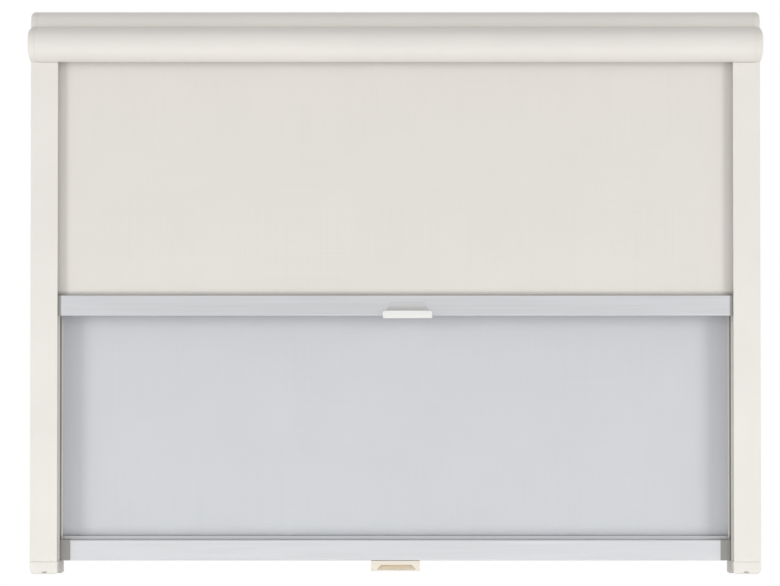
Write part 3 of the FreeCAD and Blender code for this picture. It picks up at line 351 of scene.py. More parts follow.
def welded_copy(label, node, material, cuts=(), move=None):
    """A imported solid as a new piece: triangles welded and flat faces joined, then cut by planes, each a
    place and a direction, and its points moved by a function of all of them."""
    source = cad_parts[node].data
    points = np.empty(len(source.vertices) * 3)
    source.vertices.foreach_get("co", points)
    corners = np.empty(len(source.loops), int)
    source.loops.foreach_get("vertex_index", corners)
    piece = put(label, points, corners.reshape(-1, 3), material, outwards=False)
    shape = bmesh.new()
    shape.from_mesh(piece.data)
    bmesh.ops.remove_doubles(shape, verts=shape.verts, dist=WELD)
    flat = math.radians(FLAT_ANGLE)
    bmesh.ops.dissolve_limit(shape, angle_limit=flat, verts=shape.verts, edges=shape.edges)
    for spot, square in cuts:
        parts = shape.verts[:] + shape.edges[:] + shape.faces[:]
        bmesh.ops.bisect_plane(shape, geom=parts, plane_co=spot, plane_no=square)
    shape.to_mesh(piece.data)
    shape.free()
    if move:
        points = np.empty(len(piece.data.vertices) * 3)
        piece.data.vertices.foreach_get("co", points)
        piece.data.vertices.foreach_set("co", move(points.reshape(-1, 3)).ravel())
    piece.data.shade_smooth()
    return piece


def eased(share):
    """0 below 0, 1 above 1, and three squares less two cubes between: a smooth step."""
    share = np.clip(share, 0.0, 1.0)
    return share * share * (3.0 - 2.0 * share)


def oval_fall(distance, deep, long):
    """How far an oval corner falls back at a distance from its end: its depth times one less the root
    of one less the square of the share of its length that is left."""
    left = np.clip(1.0 - distance / long, 0.0, 1.0)
    return deep * (1.0 - np.sqrt(1.0 - left**2))


def domed(points):
    """The end caps' plates are thinned by an oval fall below the top of either bulge. The front bulge
    has its own, which fades in with the distance out, and a crown of one less the square of the height
    from its axis. What lies more than half a hair above the crease falls with the rear bulge."""
    forward = eased((-points[:, 1] - DOME_START) / (DOME_FULL - DOME_START))
    height = (points[:, 2] - NIGHT_AXIS[1]) / NIGHT_BULGE
    crown = CROWN * forward * np.clip(1.0 - height**2, 0.0, 1.0)
    upper = oval_fall(TOP - points[:, 2], DAY_DOME_DEEP, DAY_DOME_LONG)
    lower = oval_fall(VALLEY - points[:, 2], NIGHT_DOME_DEEP, NIGHT_DOME_LONG) * forward - crown
    fall = np.where(points[:, 2] > VALLEY + HAIR / 2, upper, lower)
    beyond = np.clip(np.abs(points[:, 0]) - CAP_PLATE, 0.0, CAP_THICK)
    points[:, 0] -= np.sign(points[:, 0]) * beyond * fall / CAP_THICK
    return points


def level_cuts(levels):
    """Level planes that cut a piece at these heights."""
    return [((0, 0, level), (0, 0, 1)) for level in levels]


cap_cuts = level_cuts(TOP - DAY_DOME_LONG * np.linspace(0.08, 1.0, 14)**2)
cap_cuts += level_cuts(VALLEY - NIGHT_DOME_LONG * np.linspace(0.06, 1.0, 16)**2)
cap_cuts += level_cuts(NIGHT_AXIS[1] + NIGHT_BULGE * np.linspace(-0.9, 0.3, 9))
cap_cuts += [((0, -out, 0), (0, 1, 0)) for out in np.linspace(DOME_START, DOME_FULL, 9)]
cap_cuts += level_cuts([VALLEY + HAIR])
for hand in ("left", "right"):
    cap = welded_copy(f"{hand}_cap", f"end_cap_{hand}", cream_plastic, cap_cuts, domed)
    cap.data.set_sharp_from_angle(angle=math.radians(SHARP))
    stand_for(cap, "blind_frame", "cream_plastic", f"end_cap_{hand}")
zinc_steel, tree, shader, place = start_material("zinc_steel", Metallic=1.0)
fine_turns = stretched(tree, place, 4000.0, 300.0, 300.0)
use(tree, shader, DRAWN, Place=fine_turns, Colour=ZINC, Rough=0.32)
dress(zinc_steel, "end_cap_screws")


# Each guide is an aluminium extrusion with a wide lip in front, a channel for either bar and a
# slot for the day screen. Its sawn ends are eased. Inside the day channel the cream gives way to a
# dark grey, which paints the shade that falls deep in the channel.

GUIDE_LIP = 366.2 * MM
GUIDE_LIP_WIDER = 0.5 * MM
GUIDE_LIP_RUN = 3.3 * MM
GUIDE_LIP_BACK = 17.0 * MM
NEAR = 0.05 * MM
GUIDE_EDGE = 0.35 * MM
EDGE_ANGLE = 35.0
CHANNEL_SIDEWAYS = np.array([(363.9, 364.1), (394.2, 394.4)]) * MM
CHANNEL_ALONG_Y = np.array([(-17.45, -17.35), (-8.8, -8.6)]) * MM
# A dark grey that paints the shade inside the day channel.
CHANNEL_SHADE_GREY = (0.34, 0.335, 0.325, 1.0)


def between(tree, value, first, last):
    """Return a share that rises from 0 to 1 over a first range of a value and falls over a last one."""
    rise = spread(tree, value, *first, 0.0, 1.0)
    return maths(tree, "MULTIPLY", rise, spread(tree, value, *last, 1.0, 0.0))


# A mask by place swaps the cream for dark grey inside the day channel: painted shade.
guide_coat, tree, shader, place = start_material("guide_coat", Coat_Weight=0.1, Coat_Roughness=0.25)
split = add(tree, "ShaderNodeSeparateXYZ", {0: place}).outputs
channel = maths(
    tree, "MULTIPLY",
    between(tree, maths(tree, "ABSOLUTE", split[0]), *CHANNEL_SIDEWAYS),
    between(tree, split[1], *CHANNEL_ALONG_Y),
)
coat_or_channel_shade = mixed(tree, channel, CREAM, CHANNEL_SHADE_GREY)
use(tree, shader, POWDER, Place=place, Colour=coat_or_channel_shade, Rough=0.42)


def eased_copy(label, node, width, material, body, slot, cuts=(), move=None):
    """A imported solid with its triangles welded, its flat faces joined and its sharp edges rounded."""
    piece = welded_copy(label, node, material, cuts, move)
    rounding = piece.modifiers.new("rounding", "BEVEL")
    rounding.width = width
    rounding.segments = 3
    rounding.limit_method = "ANGLE"
    rounding.angle_limit = math.radians(EDGE_ANGLE)
    rounding.harden_normals = True
    stand_for(piece, body, slot, node)


def wider_lip(points):
    """The front lip's points move in towards the window: fully at its edge, and behind it by one less
    the distance from the edge over a short run."""
    behind = np.abs(points[:, 0]) - GUIDE_LIP
    share = np.clip(1.0 - behind / GUIDE_LIP_RUN, 0.0, 1.0)
    share *= (behind > -NEAR) & (-points[:, 1] > GUIDE_LIP_BACK)
    points[:, 0] -= np.sign(points[:, 0]) * GUIDE_LIP_WIDER * share
    return points


for hand in ("left", "right"):
    eased_copy(
        f"{hand}_guide", f"guide_rail_{hand}", GUIDE_EDGE, guide_coat, "blind_frame", "cream_paint",
        move=wider_lip,
    )


# A moulded foot closes each guide at the bottom and holds the wall screw. A cap with a small
# lever notch snaps on over the screw, and a ledge behind the notch takes the lever's tip. The cap is
# well rounded below. The foot is a darker copy of the cream: painted shade, as it lies behind its cap.

FOOT_TOP = -280.4 * MM
FOOT_LOW = -293.9 * MM
FOOT_SIDE = 395.0 * MM
FOOT_GAP = 0.2 * MM
FOOT_EDGE = 0.4 * MM
FOOT_CAP_EDGE = 0.5 * MM
SOLID_CORNER = 3.0 * MM
WIDE_CORNER = 5.0 * MM
FRONT_FACE = 30.0 * MM
FRONT_BACK = 28.0 * MM
ROLL_START = 22.0 * MM
ROLL_DEEP = 3.0 * MM
ROLL_LONG = 6.5 * MM
NOTCH_MIDDLE = 380.6 * MM
NOTCH_REACH = 3.0 * MM
NOTCH_TOP = -290.0 * MM
NOTCH_SHIFT = 1.4 * MM
LEDGE_HALF = 4.0 * MM
LEDGE_EDGE = 0.2 * MM
LEDGE = np.array([
    (23.2, -292.5), (26.6, -292.5), (26.6, -291.0), (26.1, -290.4), (23.7, -290.4), (23.2, -290.9)
]) * MM
CORNER_TURNS = np.radians(np.arange(0.0, 88.0, 9.5))
# A darker copy of the cream, which paints the shade on the foot.
FOOT_SHADE_CREAM = (0.515, 0.50, 0.476, 1.0)

foot_plastic, tree, shader, place = start_material("foot_plastic", Specular_IOR_Level=0.4)
use(tree, shader, MOULDED, Place=place, Colour=FOOT_SHADE_CREAM, Rough=0.5)


def corner_height(sideways, radius):
    """How far a round corner of this radius lies above the cap's bottom, at a distance sideways."""
    reach = np.clip(sideways - (FOOT_SIDE - radius), 0.0, radius)
    return radius - np.sqrt(radius**2 - reach**2)


def foot_cap_moved(points):
    """The cap's inner side follows the guide's lip, its top leaves a gap under the guide, and the
    notch sits a little nearer the window. The outer lower corner's rounding is widened, which squeezes
    what is over it, and the front rolls back towards the bottom as an oval fall."""
    points = wider_lip(points)
    points[:, 2] -= np.where(points[:, 2] > FOOT_TOP - NEAR, FOOT_GAP, 0.0)
    sideways = np.abs(points[:, 0])
    notch = (np.abs(sideways - NOTCH_MIDDLE) < NOTCH_REACH) & (points[:, 2] < NOTCH_TOP)
    notch &= -points[:, 1] > FRONT_BACK
    points[:, 0] -= np.sign(points[:, 0]) * np.where(notch, NOTCH_SHIFT, 0.0)
    before = FOOT_LOW + corner_height(np.abs(points[:, 0]), SOLID_CORNER)
    after = FOOT_LOW + corner_height(np.abs(points[:, 0]), WIDE_CORNER)
    squeeze = np.clip((FOOT_TOP - points[:, 2]) / (FOOT_TOP - before), 0.0, 1.0)
    points[:, 2] += (after - before) * squeeze
    share = np.clip((-points[:, 1] - ROLL_START) / (FRONT_FACE - ROLL_START), 0.0, 1.0)
    points[:, 1] += share * oval_fall(np.maximum(points[:, 2] - after, 0.0), ROLL_DEEP, ROLL_LONG)
    return points


def side_cuts(places):
    """Upright planes across X to cut a piece by, the same to the left and to the right."""
    return [((side * place, 0, 0), (1, 0, 0)) for side in (-1, 1) for place in places]


foot_cuts = side_cuts(FOOT_SIDE - WIDE_CORNER * (1.0 - np.sin(CORNER_TURNS)))
foot_cuts += level_cuts(FOOT_LOW + ROLL_LONG * np.linspace(0.12, 1.0, 9)**2)
for hand, side in (("left", -1.0), ("right", 1.0)):
    eased_copy(
        f"{hand}_foot", f"guide_foot_{hand}", FOOT_EDGE, foot_plastic, "blind_frame", "foot_plastic"
    )
    eased_copy(
        f"{hand}_foot_cap", f"foot_cap_{hand}", FOOT_CAP_EDGE, cream_plastic, "blind_frame",
        "cream_plastic", foot_cuts, foot_cap_moved,
    )
    ends = eased_ends(side * (NOTCH_MIDDLE - NOTCH_SHIFT), LEDGE_HALF, LEDGE_EDGE)
    ledge = carried_along_x(f"{hand}_lever_ledge", LEDGE, ends, foot_plastic)
    stand_for(ledge, "blind_frame", "foot_plastic")


# Inside the cassette two aluminium tubes turn on an idler pin at the left and on a fixed steel
# shaft at the right. A wire spring on each shaft winds the cloth up.

SPRING_START = 196.0 * MM
SPRING_END = 359.5 * MM
SPRING_RADIUS = 6.4 * MM
SPRING_WIRE = 1.1 * MM
SPRING_PITCH = 1.12 * SPRING_WIRE
TURN_STEPS = 20
WIRE_SIDES = 8
ALUMINIUM = (0.72, 0.72, 0.73, 1.0)
STEEL = (0.55, 0.55, 0.56, 1.0)
GREY = (0.36, 0.355, 0.34, 1.0)
IVORY = (0.66, 0.65, 0.6, 1.0)
WIRE_GREY = (0.42, 0.41, 0.4, 1.0)

bare_tube, tree, shader, place = start_material("bare_tube", Metallic=1.0)
drawn_place = stretched(tree, place, 12.0, 900.0, 900.0)
use(tree, shader, DRAWN, Place=drawn_place, Colour=ALUMINIUM, Rough=0.38)
dress(bare_tube, "night_tube", "day_tube")
turned_steel, tree, shader, place = start_material("turned_steel", Metallic=1.0)
fine_turns = stretched(tree, place, 3000.0, 200.0, 200.0)
use(tree, shader, DRAWN, Place=fine_turns, Colour=STEEL, Rough=0.3)
dress(turned_steel, "night_spring_shaft", "day_spring_shaft")
grey_plastic, tree, shader, place = start_material("grey_plastic", Specular_IOR_Level=0.4)
use(tree, shader, MOULDED, Place=place, Colour=GREY, Rough=0.48)
dress(grey_plastic, "night_idler_plug", "night_spring_plug", "day_idler_plug", "day_spring_plug")
bearing_plastic, tree, shader, place = start_material("bearing_plastic", Specular_IOR_Level=0.5)
use(tree, shader, MOULDED, Place=place, Colour=IVORY, Rough=0.35, Grain=2e-6)
dress(bearing_plastic, "night_bearing_bush", "day_bearing_bush")
spring_wire, tree, shader, place = start_material("spring_wire", Metallic=1.0)
wire_place = stretched(tree, place, 500.0, 500.0, 500.0)
use(tree, shader, DRAWN, Place=wire_place, Colour=WIRE_GREY, Rough=0.35)


def coiled_wire(label, axis, material):
    """A round wire on a helix, which turns about the axis at its middle radius as it goes along X. The
    wire's points go round the helix point by a cosine away from the axis and a sine along X."""
    turns = int((SPRING_END - SPRING_START) / SPRING_PITCH)
    wire = SPRING_WIRE / 2
    middle = SPRING_RADIUS - wire
    angle = np.linspace(0.0, 2 * np.pi * turns, turns * TURN_STEPS + 1)[:, None]
    along = np.linspace(SPRING_START + wire, SPRING_END - wire, len(angle))[:, None]
    around = np.linspace(0.0, 2 * np.pi, WIRE_SIDES, endpoint=False)[None, :]
    reach = middle + wire * np.cos(around)
    points = np.stack([
        along + wire * np.sin(around),
        -axis[0] + reach * np.cos(angle),
        axis[1] + reach * np.sin(angle),
    ], -1)
    return ringed(label, points, material, sharp=60.0)


for name, axis in (("night", NIGHT_AXIS), ("day", DAY_AXIS)):
    coil = coiled_wire(f"{name}_spring", axis, spring_wire)
    stand_for(coil, "blind_frame", "spring_steel", f"{name}_torsion_spring")


# The cloth that is wound up stays on its tube as a spiral: about five turns of the night cloth,
# and one of the day screen. The night cloth is a coated polyester, woven plain. The screen is a
# thinner, cooler fabric of the same make.

NIGHT_HALF = 376.0 * MM
DAY_HALF = 374.0 * MM
NIGHT_THICK = 0.35 * MM
DAY_THICK = 0.3 * MM
NIGHT_ROLL_INNER = 8.84 * MM
NIGHT_ROLL_OUTER = 10.62 * MM
DAY_ROLL_INNER = 8.76 * MM
DAY_ROLL_OUTER = 9.04 * MM
ROLL_COLUMNS = 13
ROLL_STEPS = 72
TIGHT = 0.9
NIGHT_CREAM = (0.79, 0.76, 0.714, 1.0)
DAY_GREY = (0.637, 0.651, 0.68, 1.0)


def plain_weave():
    """Plain weave: the product of two sine waves, one to a thread each way, is high where one thread
    lies on top and low where the other does. Slow noise along each thread makes it uneven."""
    tree, given = new_group(
        "plain_weave", ("Threads", "Float", 2400.0), ("Relief", "Float", 3e-5),
        ("Contrast", "Float", 0.06),
    )
    split = add(tree, "ShaderNodeSeparateXYZ", {0: given["Place"]}).outputs
    turn = maths(tree, "MULTIPLY", given["Threads"], math.pi)
    wave = [maths(tree, "SINE", maths(tree, "MULTIPLY", split[axis], turn)) for axis in (0, 2)]
    height = spread(tree, maths(tree, "MULTIPLY", wave[0], wave[1]), -1.0, 1.0, 0.0, 1.0)
    slubs = noise(tree, stretched(tree, given["Place"], 1100.0, 1.0, 7.0), 1.0)
    picks = noise(tree, stretched(tree, given["Place"], 6.0, 1.0, 1300.0), 1.0)
    cloud = noise(tree, given["Place"], 14.0, 3.0)
    uneven = maths(tree, "ADD", maths(tree, "ADD", slubs, picks), cloud)
    dark = maths(tree, "SUBTRACT", 1.0, given["Contrast"])
    level = spread(tree, height, 0.0, 1.0, dark, 1.0)
    level = maths(tree, "MULTIPLY", level, spread(tree, uneven, 1.1, 1.9, 0.975, 1.015))
    shade = scaled(tree, given["Colour"], level)
    rough = maths(tree, "ADD", given["Rough"], spread(tree, height, 0.0, 1.0, 0.06, -0.06))
    return end_group(tree, shade, rough, raised(tree, height, given["Relief"]))


WEAVE = plain_weave()
night_fabric, tree, shader, place = start_material(
    "night_fabric", Sheen_Weight=0.12, Sheen_Roughness=0.5, Specular_IOR_Level=0.25
)
use(tree, shader, WEAVE, Place=place, Colour=NIGHT_CREAM, Rough=0.82)
day_fabric, tree, shader, place = start_material(
    "day_fabric", Sheen_Weight=0.1, Sheen_Roughness=0.4, Specular_IOR_Level=0.3
)
use(tree, shader, WEAVE, Place=place, Colour=DAY_GREY, Rough=0.72, Threads=3200.0, Relief=2e-5)


def thickened(piece, thick):
    """Give a sheet its thickness, half to either side."""
    wall = piece.modifiers.new("thickness", "SOLIDIFY")
    wall.thickness = thick
    wall.offset = 0.0


def wound_sheet(label, axis, inner, outer, half, thick, material):
    """A sheet on a spiral: the radius shrinks evenly with the angle, from the side next to the wall,
    over the top and round, by one thickness a turn. The sheet is drawn a little thinner than that."""
    turns = (outer - inner) / thick
    angle = np.linspace(0.0, 2 * np.pi * turns, int(turns * ROLL_STEPS) + 1)[:, None]
    radius = outer - (outer - inner) * angle / angle[-1]
    across = np.linspace(-half, half, ROLL_COLUMNS)[None, :]
    points = np.stack(np.broadcast_arrays(
        across, -axis[0] + radius * np.cos(angle), axis[1] + radius * np.sin(angle)
    ), -1)
    faces = grid_faces(len(angle), ROLL_COLUMNS)
    piece = put(label, points, faces, material, sharp=60.0, outwards=False)
    thickened(piece, thick * TIGHT)
    return piece


night_wound = wound_sheet(
    "night_wound", NIGHT_AXIS, NIGHT_ROLL_INNER, NIGHT_ROLL_OUTER, NIGHT_HALF, NIGHT_THICK, night_fabric
)
stand_for(night_wound, "night_roller", "night_cloth", "night_cloth_roll")
day_wound = wound_sheet(
    "day_wound", DAY_AXIS, DAY_ROLL_INNER, DAY_ROLL_OUTER, DAY_HALF, DAY_THICK, day_fabric
)
stand_for(day_wound, "day_roller", "day_screen", "day_cloth_roll")


# The night cloth hangs from its roller and ends in a hem in the night bar. Its edges run in the
# guides and curl back a little.

NIGHT_PLANE = -21.625 * MM
NIGHT_TOP = 278.8 * MM
NIGHT_LOW = 7.4 * MM
NIGHT_HEM_HALF = 361.8 * MM
NIGHT_HEM_HEART = 4.7 * MM
NIGHT_HEM_ROD = 1.14 * MM
NIGHT_CURL = 0.5
SHEET_COLUMNS = 161
FLAT_END = 0.03
RIPPLES = ((0.10, 9.0, 0.4), (0.07, 17.0, 1.3), (0.05, 31.0, 2.1))


def hanging_sheet(label, half, plane, top, low, rows, curl, material):
    """A flat sheet that ripples across its width. With x the share of the way from the middle to an
    edge, a ripple lifts it by a height in millimetres times the sine of a rate times x plus a start.
    The ripples fade by one less x to the 8th, the edges curl by x to the 24th, and the ends are flat."""
    across = np.linspace(-half, half, SHEET_COLUMNS)[None, :]
    level = (top + (low - top) * np.asarray(rows))[:, None]
    share = across / half
    ripple = sum(high * np.sin(rate * share + start) for high, rate, start in RIPPLES)
    lift = (ripple * (1.0 - share**8) + curl * share**24) * MM
    from_end = 1.0 - np.abs(np.asarray(rows) * 2 - 1)[:, None]
    free = np.clip(from_end / FLAT_END, 0.0, 1.0)
    points = np.stack(np.broadcast_arrays(across, plane + lift * free, level), -1)
    faces = grid_faces(len(level), SHEET_COLUMNS)
    return put(label, points, faces, material, sharp=60.0, outwards=False)


night_sheet = hanging_sheet(
    "night_sheet", NIGHT_HALF, NIGHT_PLANE, NIGHT_TOP, NIGHT_LOW,
    (0.0, FLAT_END, 1.0 - FLAT_END, 1.0), NIGHT_CURL, night_fabric,
)
thickened(night_sheet, NIGHT_THICK)
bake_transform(night_sheet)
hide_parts("night_cloth")


def hem_outline(centre, top, heart, rod, thick):
    """The cloth's two layers come down a slot and go round a rod: two straight sides, then an arc."""
    half = thick / 2
    start = math.degrees(math.acos(half / rod))
    ring = arc(np.array((centre, heart)), rod, start, -180.0 - start, 25)
    return np.concatenate([[(centre + half, top)], ring, [(centre - half, top)]])


night_hem = carried_along_x(
    "night_hem", hem_outline(-NIGHT_PLANE, NIGHT_LOW, NIGHT_HEM_HEART, NIGHT_HEM_ROD, NIGHT_THICK),
    [(-NIGHT_HEM_HALF, 0.0), (NIGHT_HEM_HALF, 0.0)], night_fabric, sharp=50.0,
)
stand_for(night_hem, "night_bar", "night_cloth", "night_cloth_hem")


# The day screen hangs behind the night cloth, all the way down to the day bar's fin.

DAY_PLANE = -6.3 * MM
DAY_TOP = 300.1 * MM
DAY_LOW = -254.6 * MM
DAY_HEM_HALF = 362.0 * MM
DAY_HEM_HEART = -256.9 * MM
DAY_HEM_ROD = 0.74 * MM
DAY_CURL = 0.3

day_sheet = hanging_sheet(
    "day_sheet", DAY_HALF, DAY_PLANE, DAY_TOP, DAY_LOW,
    np.linspace(0.0, 1.0, 41), DAY_CURL, day_fabric,
)
thickened(day_sheet, DAY_THICK)
stand_for(day_sheet, "blind_frame", "day_screen", "day_screen")
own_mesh(day_sheet)
day_hem = carried_along_x(
    "day_hem", hem_outline(-DAY_PLANE, DAY_LOW, DAY_HEM_HEART, DAY_HEM_ROD, DAY_THICK),
    [(-DAY_HEM_HALF, 0.0), (DAY_HEM_HALF, 0.0)], day_fabric, sharp=50.0,
)
stand_for(day_hem, "day_bar", "day_screen", "day_screen_hem")


# Both pull bars are aluminium extrusions, brushed along their length and anodised satin. The
# night bar holds its cloth in a keyhole on top, and the day bar in a fin behind.

SATIN = (0.56, 0.565, 0.58, 1.0)

satin_bar, tree, shader, place = start_material("satin_bar", Metallic=1.0, Anisotropic=0.3)
brushed_place = stretched(tree, place, 9.0, 1500.0, 1500.0)
use(tree, shader, DRAWN, Place=brushed_place, Colour=SATIN, Rough=0.4, Streaks=1.2e-6)
dress(satin_bar, "night_bar_profile", "day_bar_profile")


# Grey moulded sliders plug into the ends of each bar and run in the guides. Where a slider leaves
# its bar its front bends back into the guide. Each carries a rubber brake block on a bowed steel
# strip, which holds the bar where it is put.

SLIDER_EDGE = 0.5 * MM
BEND_FADE = 3.0 * MM
SLIDER_BENDS = {
    "night": dict(back=19.3 * MM, front=27.8 * MM, start=362.0 * MM, end=367.0 * MM, deep=1.2 * MM),
    "day": dict(back=9.3 * MM, front=17.2 * MM, start=353.0 * MM, end=365.0 * MM, deep=1.3 * MM),
}
RUBBER = (0.03, 0.03, 0.032, 1.0)

brake_rubber, tree, shader, place = start_material("brake_rubber", Specular_IOR_Level=0.3)
use(tree, shader, MOULDED, Place=place, Colour=RUBBER, Rough=0.75, Grain=2e-5)
dress(brake_rubber, "night_brake_blocks", "day_brake_blocks")
dress(spring_wire, "night_leaf_springs", "day_leaf_springs")


def bent_back(back, front, start, end, deep):
    """A function that squeezes a slider towards its back. The squeeze grows from where the slider
    leaves the bar to inside the guide, as an oval fall, and then fades out by a smooth step."""

    def move(points):
        sideways = np.abs(points[:, 0])
        fade = 1.0 - eased((sideways - end) / BEND_FADE)
        share = np.clip((-points[:, 1] - back) / (front - back), 0.0, 1.0)
        points[:, 1] += oval_fall(end - sideways, deep, end - start) * fade * share
        return points

    return move


for name, bend in SLIDER_BENDS.items():
    slider_cuts = side_cuts(np.linspace(bend["start"], bend["end"] + BEND_FADE, 16))
    for hand in ("left", "right"):
        eased_copy(
            f"{name}_slider_{hand}", f"{name}_bar_slider_{hand}", SLIDER_EDGE, grey_plastic,
            f"{name}_bar", "grey_plastic", slider_cuts, bent_back(**bend),
        )


# The night bar's handle is a glossy white moulding: a lip to grip, and over it a hollow for the
# thumb that lies on the front of the bar. The hollow is coloured grey, which paints the shade in it.
# A stem with a wider head holds it in the bar's slot.

PULL_MIDDLE = 13.0 * MM
PULL_HALF = 26.75 * MM
PULL_BACK = 22.0 * MM
PULL_SKIN = 27.8 * MM
PULL_FACE = 34.7 * MM
PULL_LOW = -17.3 * MM
PULL_UNDER_BAR = -14.8 * MM
PULL_LIP_TOP = -8.9 * MM
HOLLOW_RISE = 8.4 * MM
HOLLOW_HALF = 23.2 * MM
HOLLOW_SLANT = 5.4 * MM
HOLLOW_DIP = 0.9 * MM
HOLLOW_END = 0.3 * MM
HOLLOW_SKIN = 0.12 * MM
HOLLOW_EDGE = 0.2 * MM
FACE_ROUND = 1.6 * MM
TOP_ROUND = 2.6 * MM
LOW_ROUND = 0.8 * MM
UNDER_ROUND = 1.3 * MM
PULL_LIP_ROUND = 1.0 * MM
PULL_LIP_CROWN = 0.12 * MM
LIP_WHITE = (0.83, 0.825, 0.80, 1.0)
# A grey that paints the shade in the hollow over the lip.
HOLLOW_SHADE_GREY = (0.575, 0.575, 0.575, 1.0)
SHADE_BELOW = 0.2 * MM
SHADE_ABOVE = 0.3 * MM
STEM_HALF = 19.0 * MM
STEM_EDGE = 0.2 * MM
NIGHT_SLOT = 23.5 * MM

white_plastic, tree, shader, place = start_material(
    "white_plastic", Coat_Weight=0.25, Coat_Roughness=0.12
)
# Above the lip's top edge the white turns grey: painted shade in the hollow.
height = add(tree, "ShaderNodeSeparateXYZ", {0: place}).outputs[2]
above = spread(tree, height, PULL_LIP_TOP - SHADE_BELOW, PULL_LIP_TOP + SHADE_ABOVE, 0.0, 1.0)
lip_or_hollow_shade = mixed(tree, above, LIP_WHITE, HOLLOW_SHADE_GREY)
use(tree, shader, MOULDED, Place=place, Colour=lip_or_hollow_shade, Rough=0.34, Grain=1e-6, Swirl=0.25)


def pull_section(x):
    """The closed section of the white handle at one place along the bar. The underside, the rounded
    and slightly crowned front and the rounded top edge come first. Then the hollow goes back by a sine
    and up by one less a cosine, dips by the sine of twice the angle, and the back closes it."""
    inset = PULL_HALF - abs(x)
    face = PULL_FACE - oval_fall(inset, FACE_ROUND, FACE_ROUND)
    top = PULL_LIP_TOP - oval_fall(inset, TOP_ROUND, TOP_ROUND)
    low = PULL_LOW + oval_fall(inset, LOW_ROUND, LOW_ROUND)
    under = arc(np.array((face - UNDER_ROUND, low + UNDER_ROUND)), UNDER_ROUND, -90.0, 0.0, 7)
    edge = arc(np.array((face - PULL_LIP_ROUND, top - PULL_LIP_ROUND)), PULL_LIP_ROUND, 0.0, 90.0, 7)
    share = np.linspace(0.0, 1.0, 9)[1:-1]
    front = under[-1] + (edge[0] - under[-1]) * share[:, None]
    front[:, 0] += PULL_LIP_CROWN * (2.0 * np.sin(np.pi * share) - 1.0)
    open_share = eased((HOLLOW_HALF - abs(x)) / HOLLOW_SLANT)
    turn = np.linspace(0.0, np.pi / 2, 19)[1:]
    back = edge[-1, 0] - (edge[-1, 0] - PULL_SKIN - HOLLOW_END) * np.sin(turn)
    climb = HOLLOW_RISE * (1.0 - np.cos(turn)) - HOLLOW_DIP * np.sin(2.0 * turn)
    hollow = np.stack([back, top + open_share * climb], -1)
    roof = hollow[-1, 1] + HOLLOW_EDGE
    return np.concatenate([
        [(PULL_BACK, low)], under, front, edge, hollow,
        [(PULL_SKIN + HOLLOW_SKIN, roof), (PULL_SKIN, roof)],
        [(PULL_SKIN, PULL_UNDER_BAR), (PULL_BACK, PULL_UNDER_BAR)],
    ])


def along_pull():
    """Places along the white handle, closer together at the hollow's slants and at the round ends."""
    straight = np.arange(0.0, 17.0, 1.7) * MM
    slant = np.linspace(17.4, 23.4, 25) * MM
    turned = PULL_HALF - TOP_ROUND * (1.0 - np.sin(np.radians(np.arange(0.0, 91.0, 10.0))))
    half = np.concatenate([straight, slant, [23.8 * MM], turned])
    return np.concatenate([-half[:0:-1], half])


rings = []
for x in along_pull():
    section = pull_section(x)
    rings.append(np.stack([np.full(len(section), PULL_MIDDLE + x), -section[:, 0], section[:, 1]], -1))
night_pull = ringed("night_pull", np.array(rings), white_plastic, sharp=40.0)
stand_for(night_pull, "night_bar", "white_plastic", "night_handle")


def stem(label, middle, out, low, material):
    """A handle's stem: a T of (out, z) carried along X, that starts inside the handle, passes the
    bar's slot and ends in a head."""
    neck, head = 1.4 * MM, 2.5 * MM
    root, shoulder, crown = low - 0.3 * MM, low + 1.4 * MM, low + 3.0 * MM
    right = [(neck, root), (neck, shoulder), (head, shoulder), (head, crown)]
    outline = np.array(right + [(-side, z) for side, z in reversed(right)]) + (out, 0.0)
    return carried_along_x(label, outline, eased_ends(middle, STEM_HALF, STEM_EDGE), material)


night_stem = stem("night_stem", PULL_MIDDLE, NIGHT_SLOT, PULL_UNDER_BAR, white_plastic)
stand_for(night_stem, "night_bar", "white_plastic")


# The day bar's handle is a beige moulding under the middle of the bar. Its front has a recess with
# slanted sides for the fingertips, deepest at the top. It hangs in the bar's slot as the other does.

GRIP_HALF = 26.4 * MM
GRIP_BACK = 9.3 * MM
GRIP_FACE = 17.2 * MM
GRIP_TOP = -280.6 * MM
GRIP_LOW = -291.7 * MM
POCKET_MIDDLE = 1.0 * MM
POCKET_TOP = -285.0 * MM
POCKET_LOW = -290.6 * MM
POCKET_DEPTH = 3.5 * MM
POCKET_TOP_HALF = 16.8 * MM
POCKET_WIDENS = 5.2 * MM
POCKET_SHOALS = 0.8
POCKET_SIDE_RUN = 1.1 * MM
POCKET_TOP_RUN = 0.5 * MM
POCKET_SILL_RUN = 0.7 * MM
GRIP_ROUND = 0.7 * MM
GRIP_TOP_ROUND = 0.3 * MM
GRIP_STEP = 0.16 * MM
SHADE_START = 0.4 * MM
SHADE_FULL = 1.6 * MM
DAY_SLOT = 13.25 * MM
FACE_BEIGE = (0.81, 0.75, 0.65, 1.0)
# A darker, warmer beige that paints the shade in the recess.
RECESS_SHADE_BEIGE = (0.69, 0.585, 0.45, 1.0)

beige_plastic, tree, shader, place = start_material(
    "beige_plastic", Coat_Weight=0.1, Coat_Roughness=0.2
)
# Deeper than the face the beige turns darker and warmer: painted shade in the recess.
out = maths(tree, "MULTIPLY", add(tree, "ShaderNodeSeparateXYZ", {0: place}).outputs[1], -1.0)
deep = spread(tree, out, GRIP_FACE - SHADE_START, GRIP_FACE - SHADE_FULL, 0.0, 1.0)
face_or_recess_shade = mixed(tree, deep, FACE_BEIGE, RECESS_SHADE_BEIGE)
use(tree, shader, MOULDED, Place=place, Colour=face_or_recess_shade, Rough=0.38, Grain=1.5e-6, Swirl=0.3)


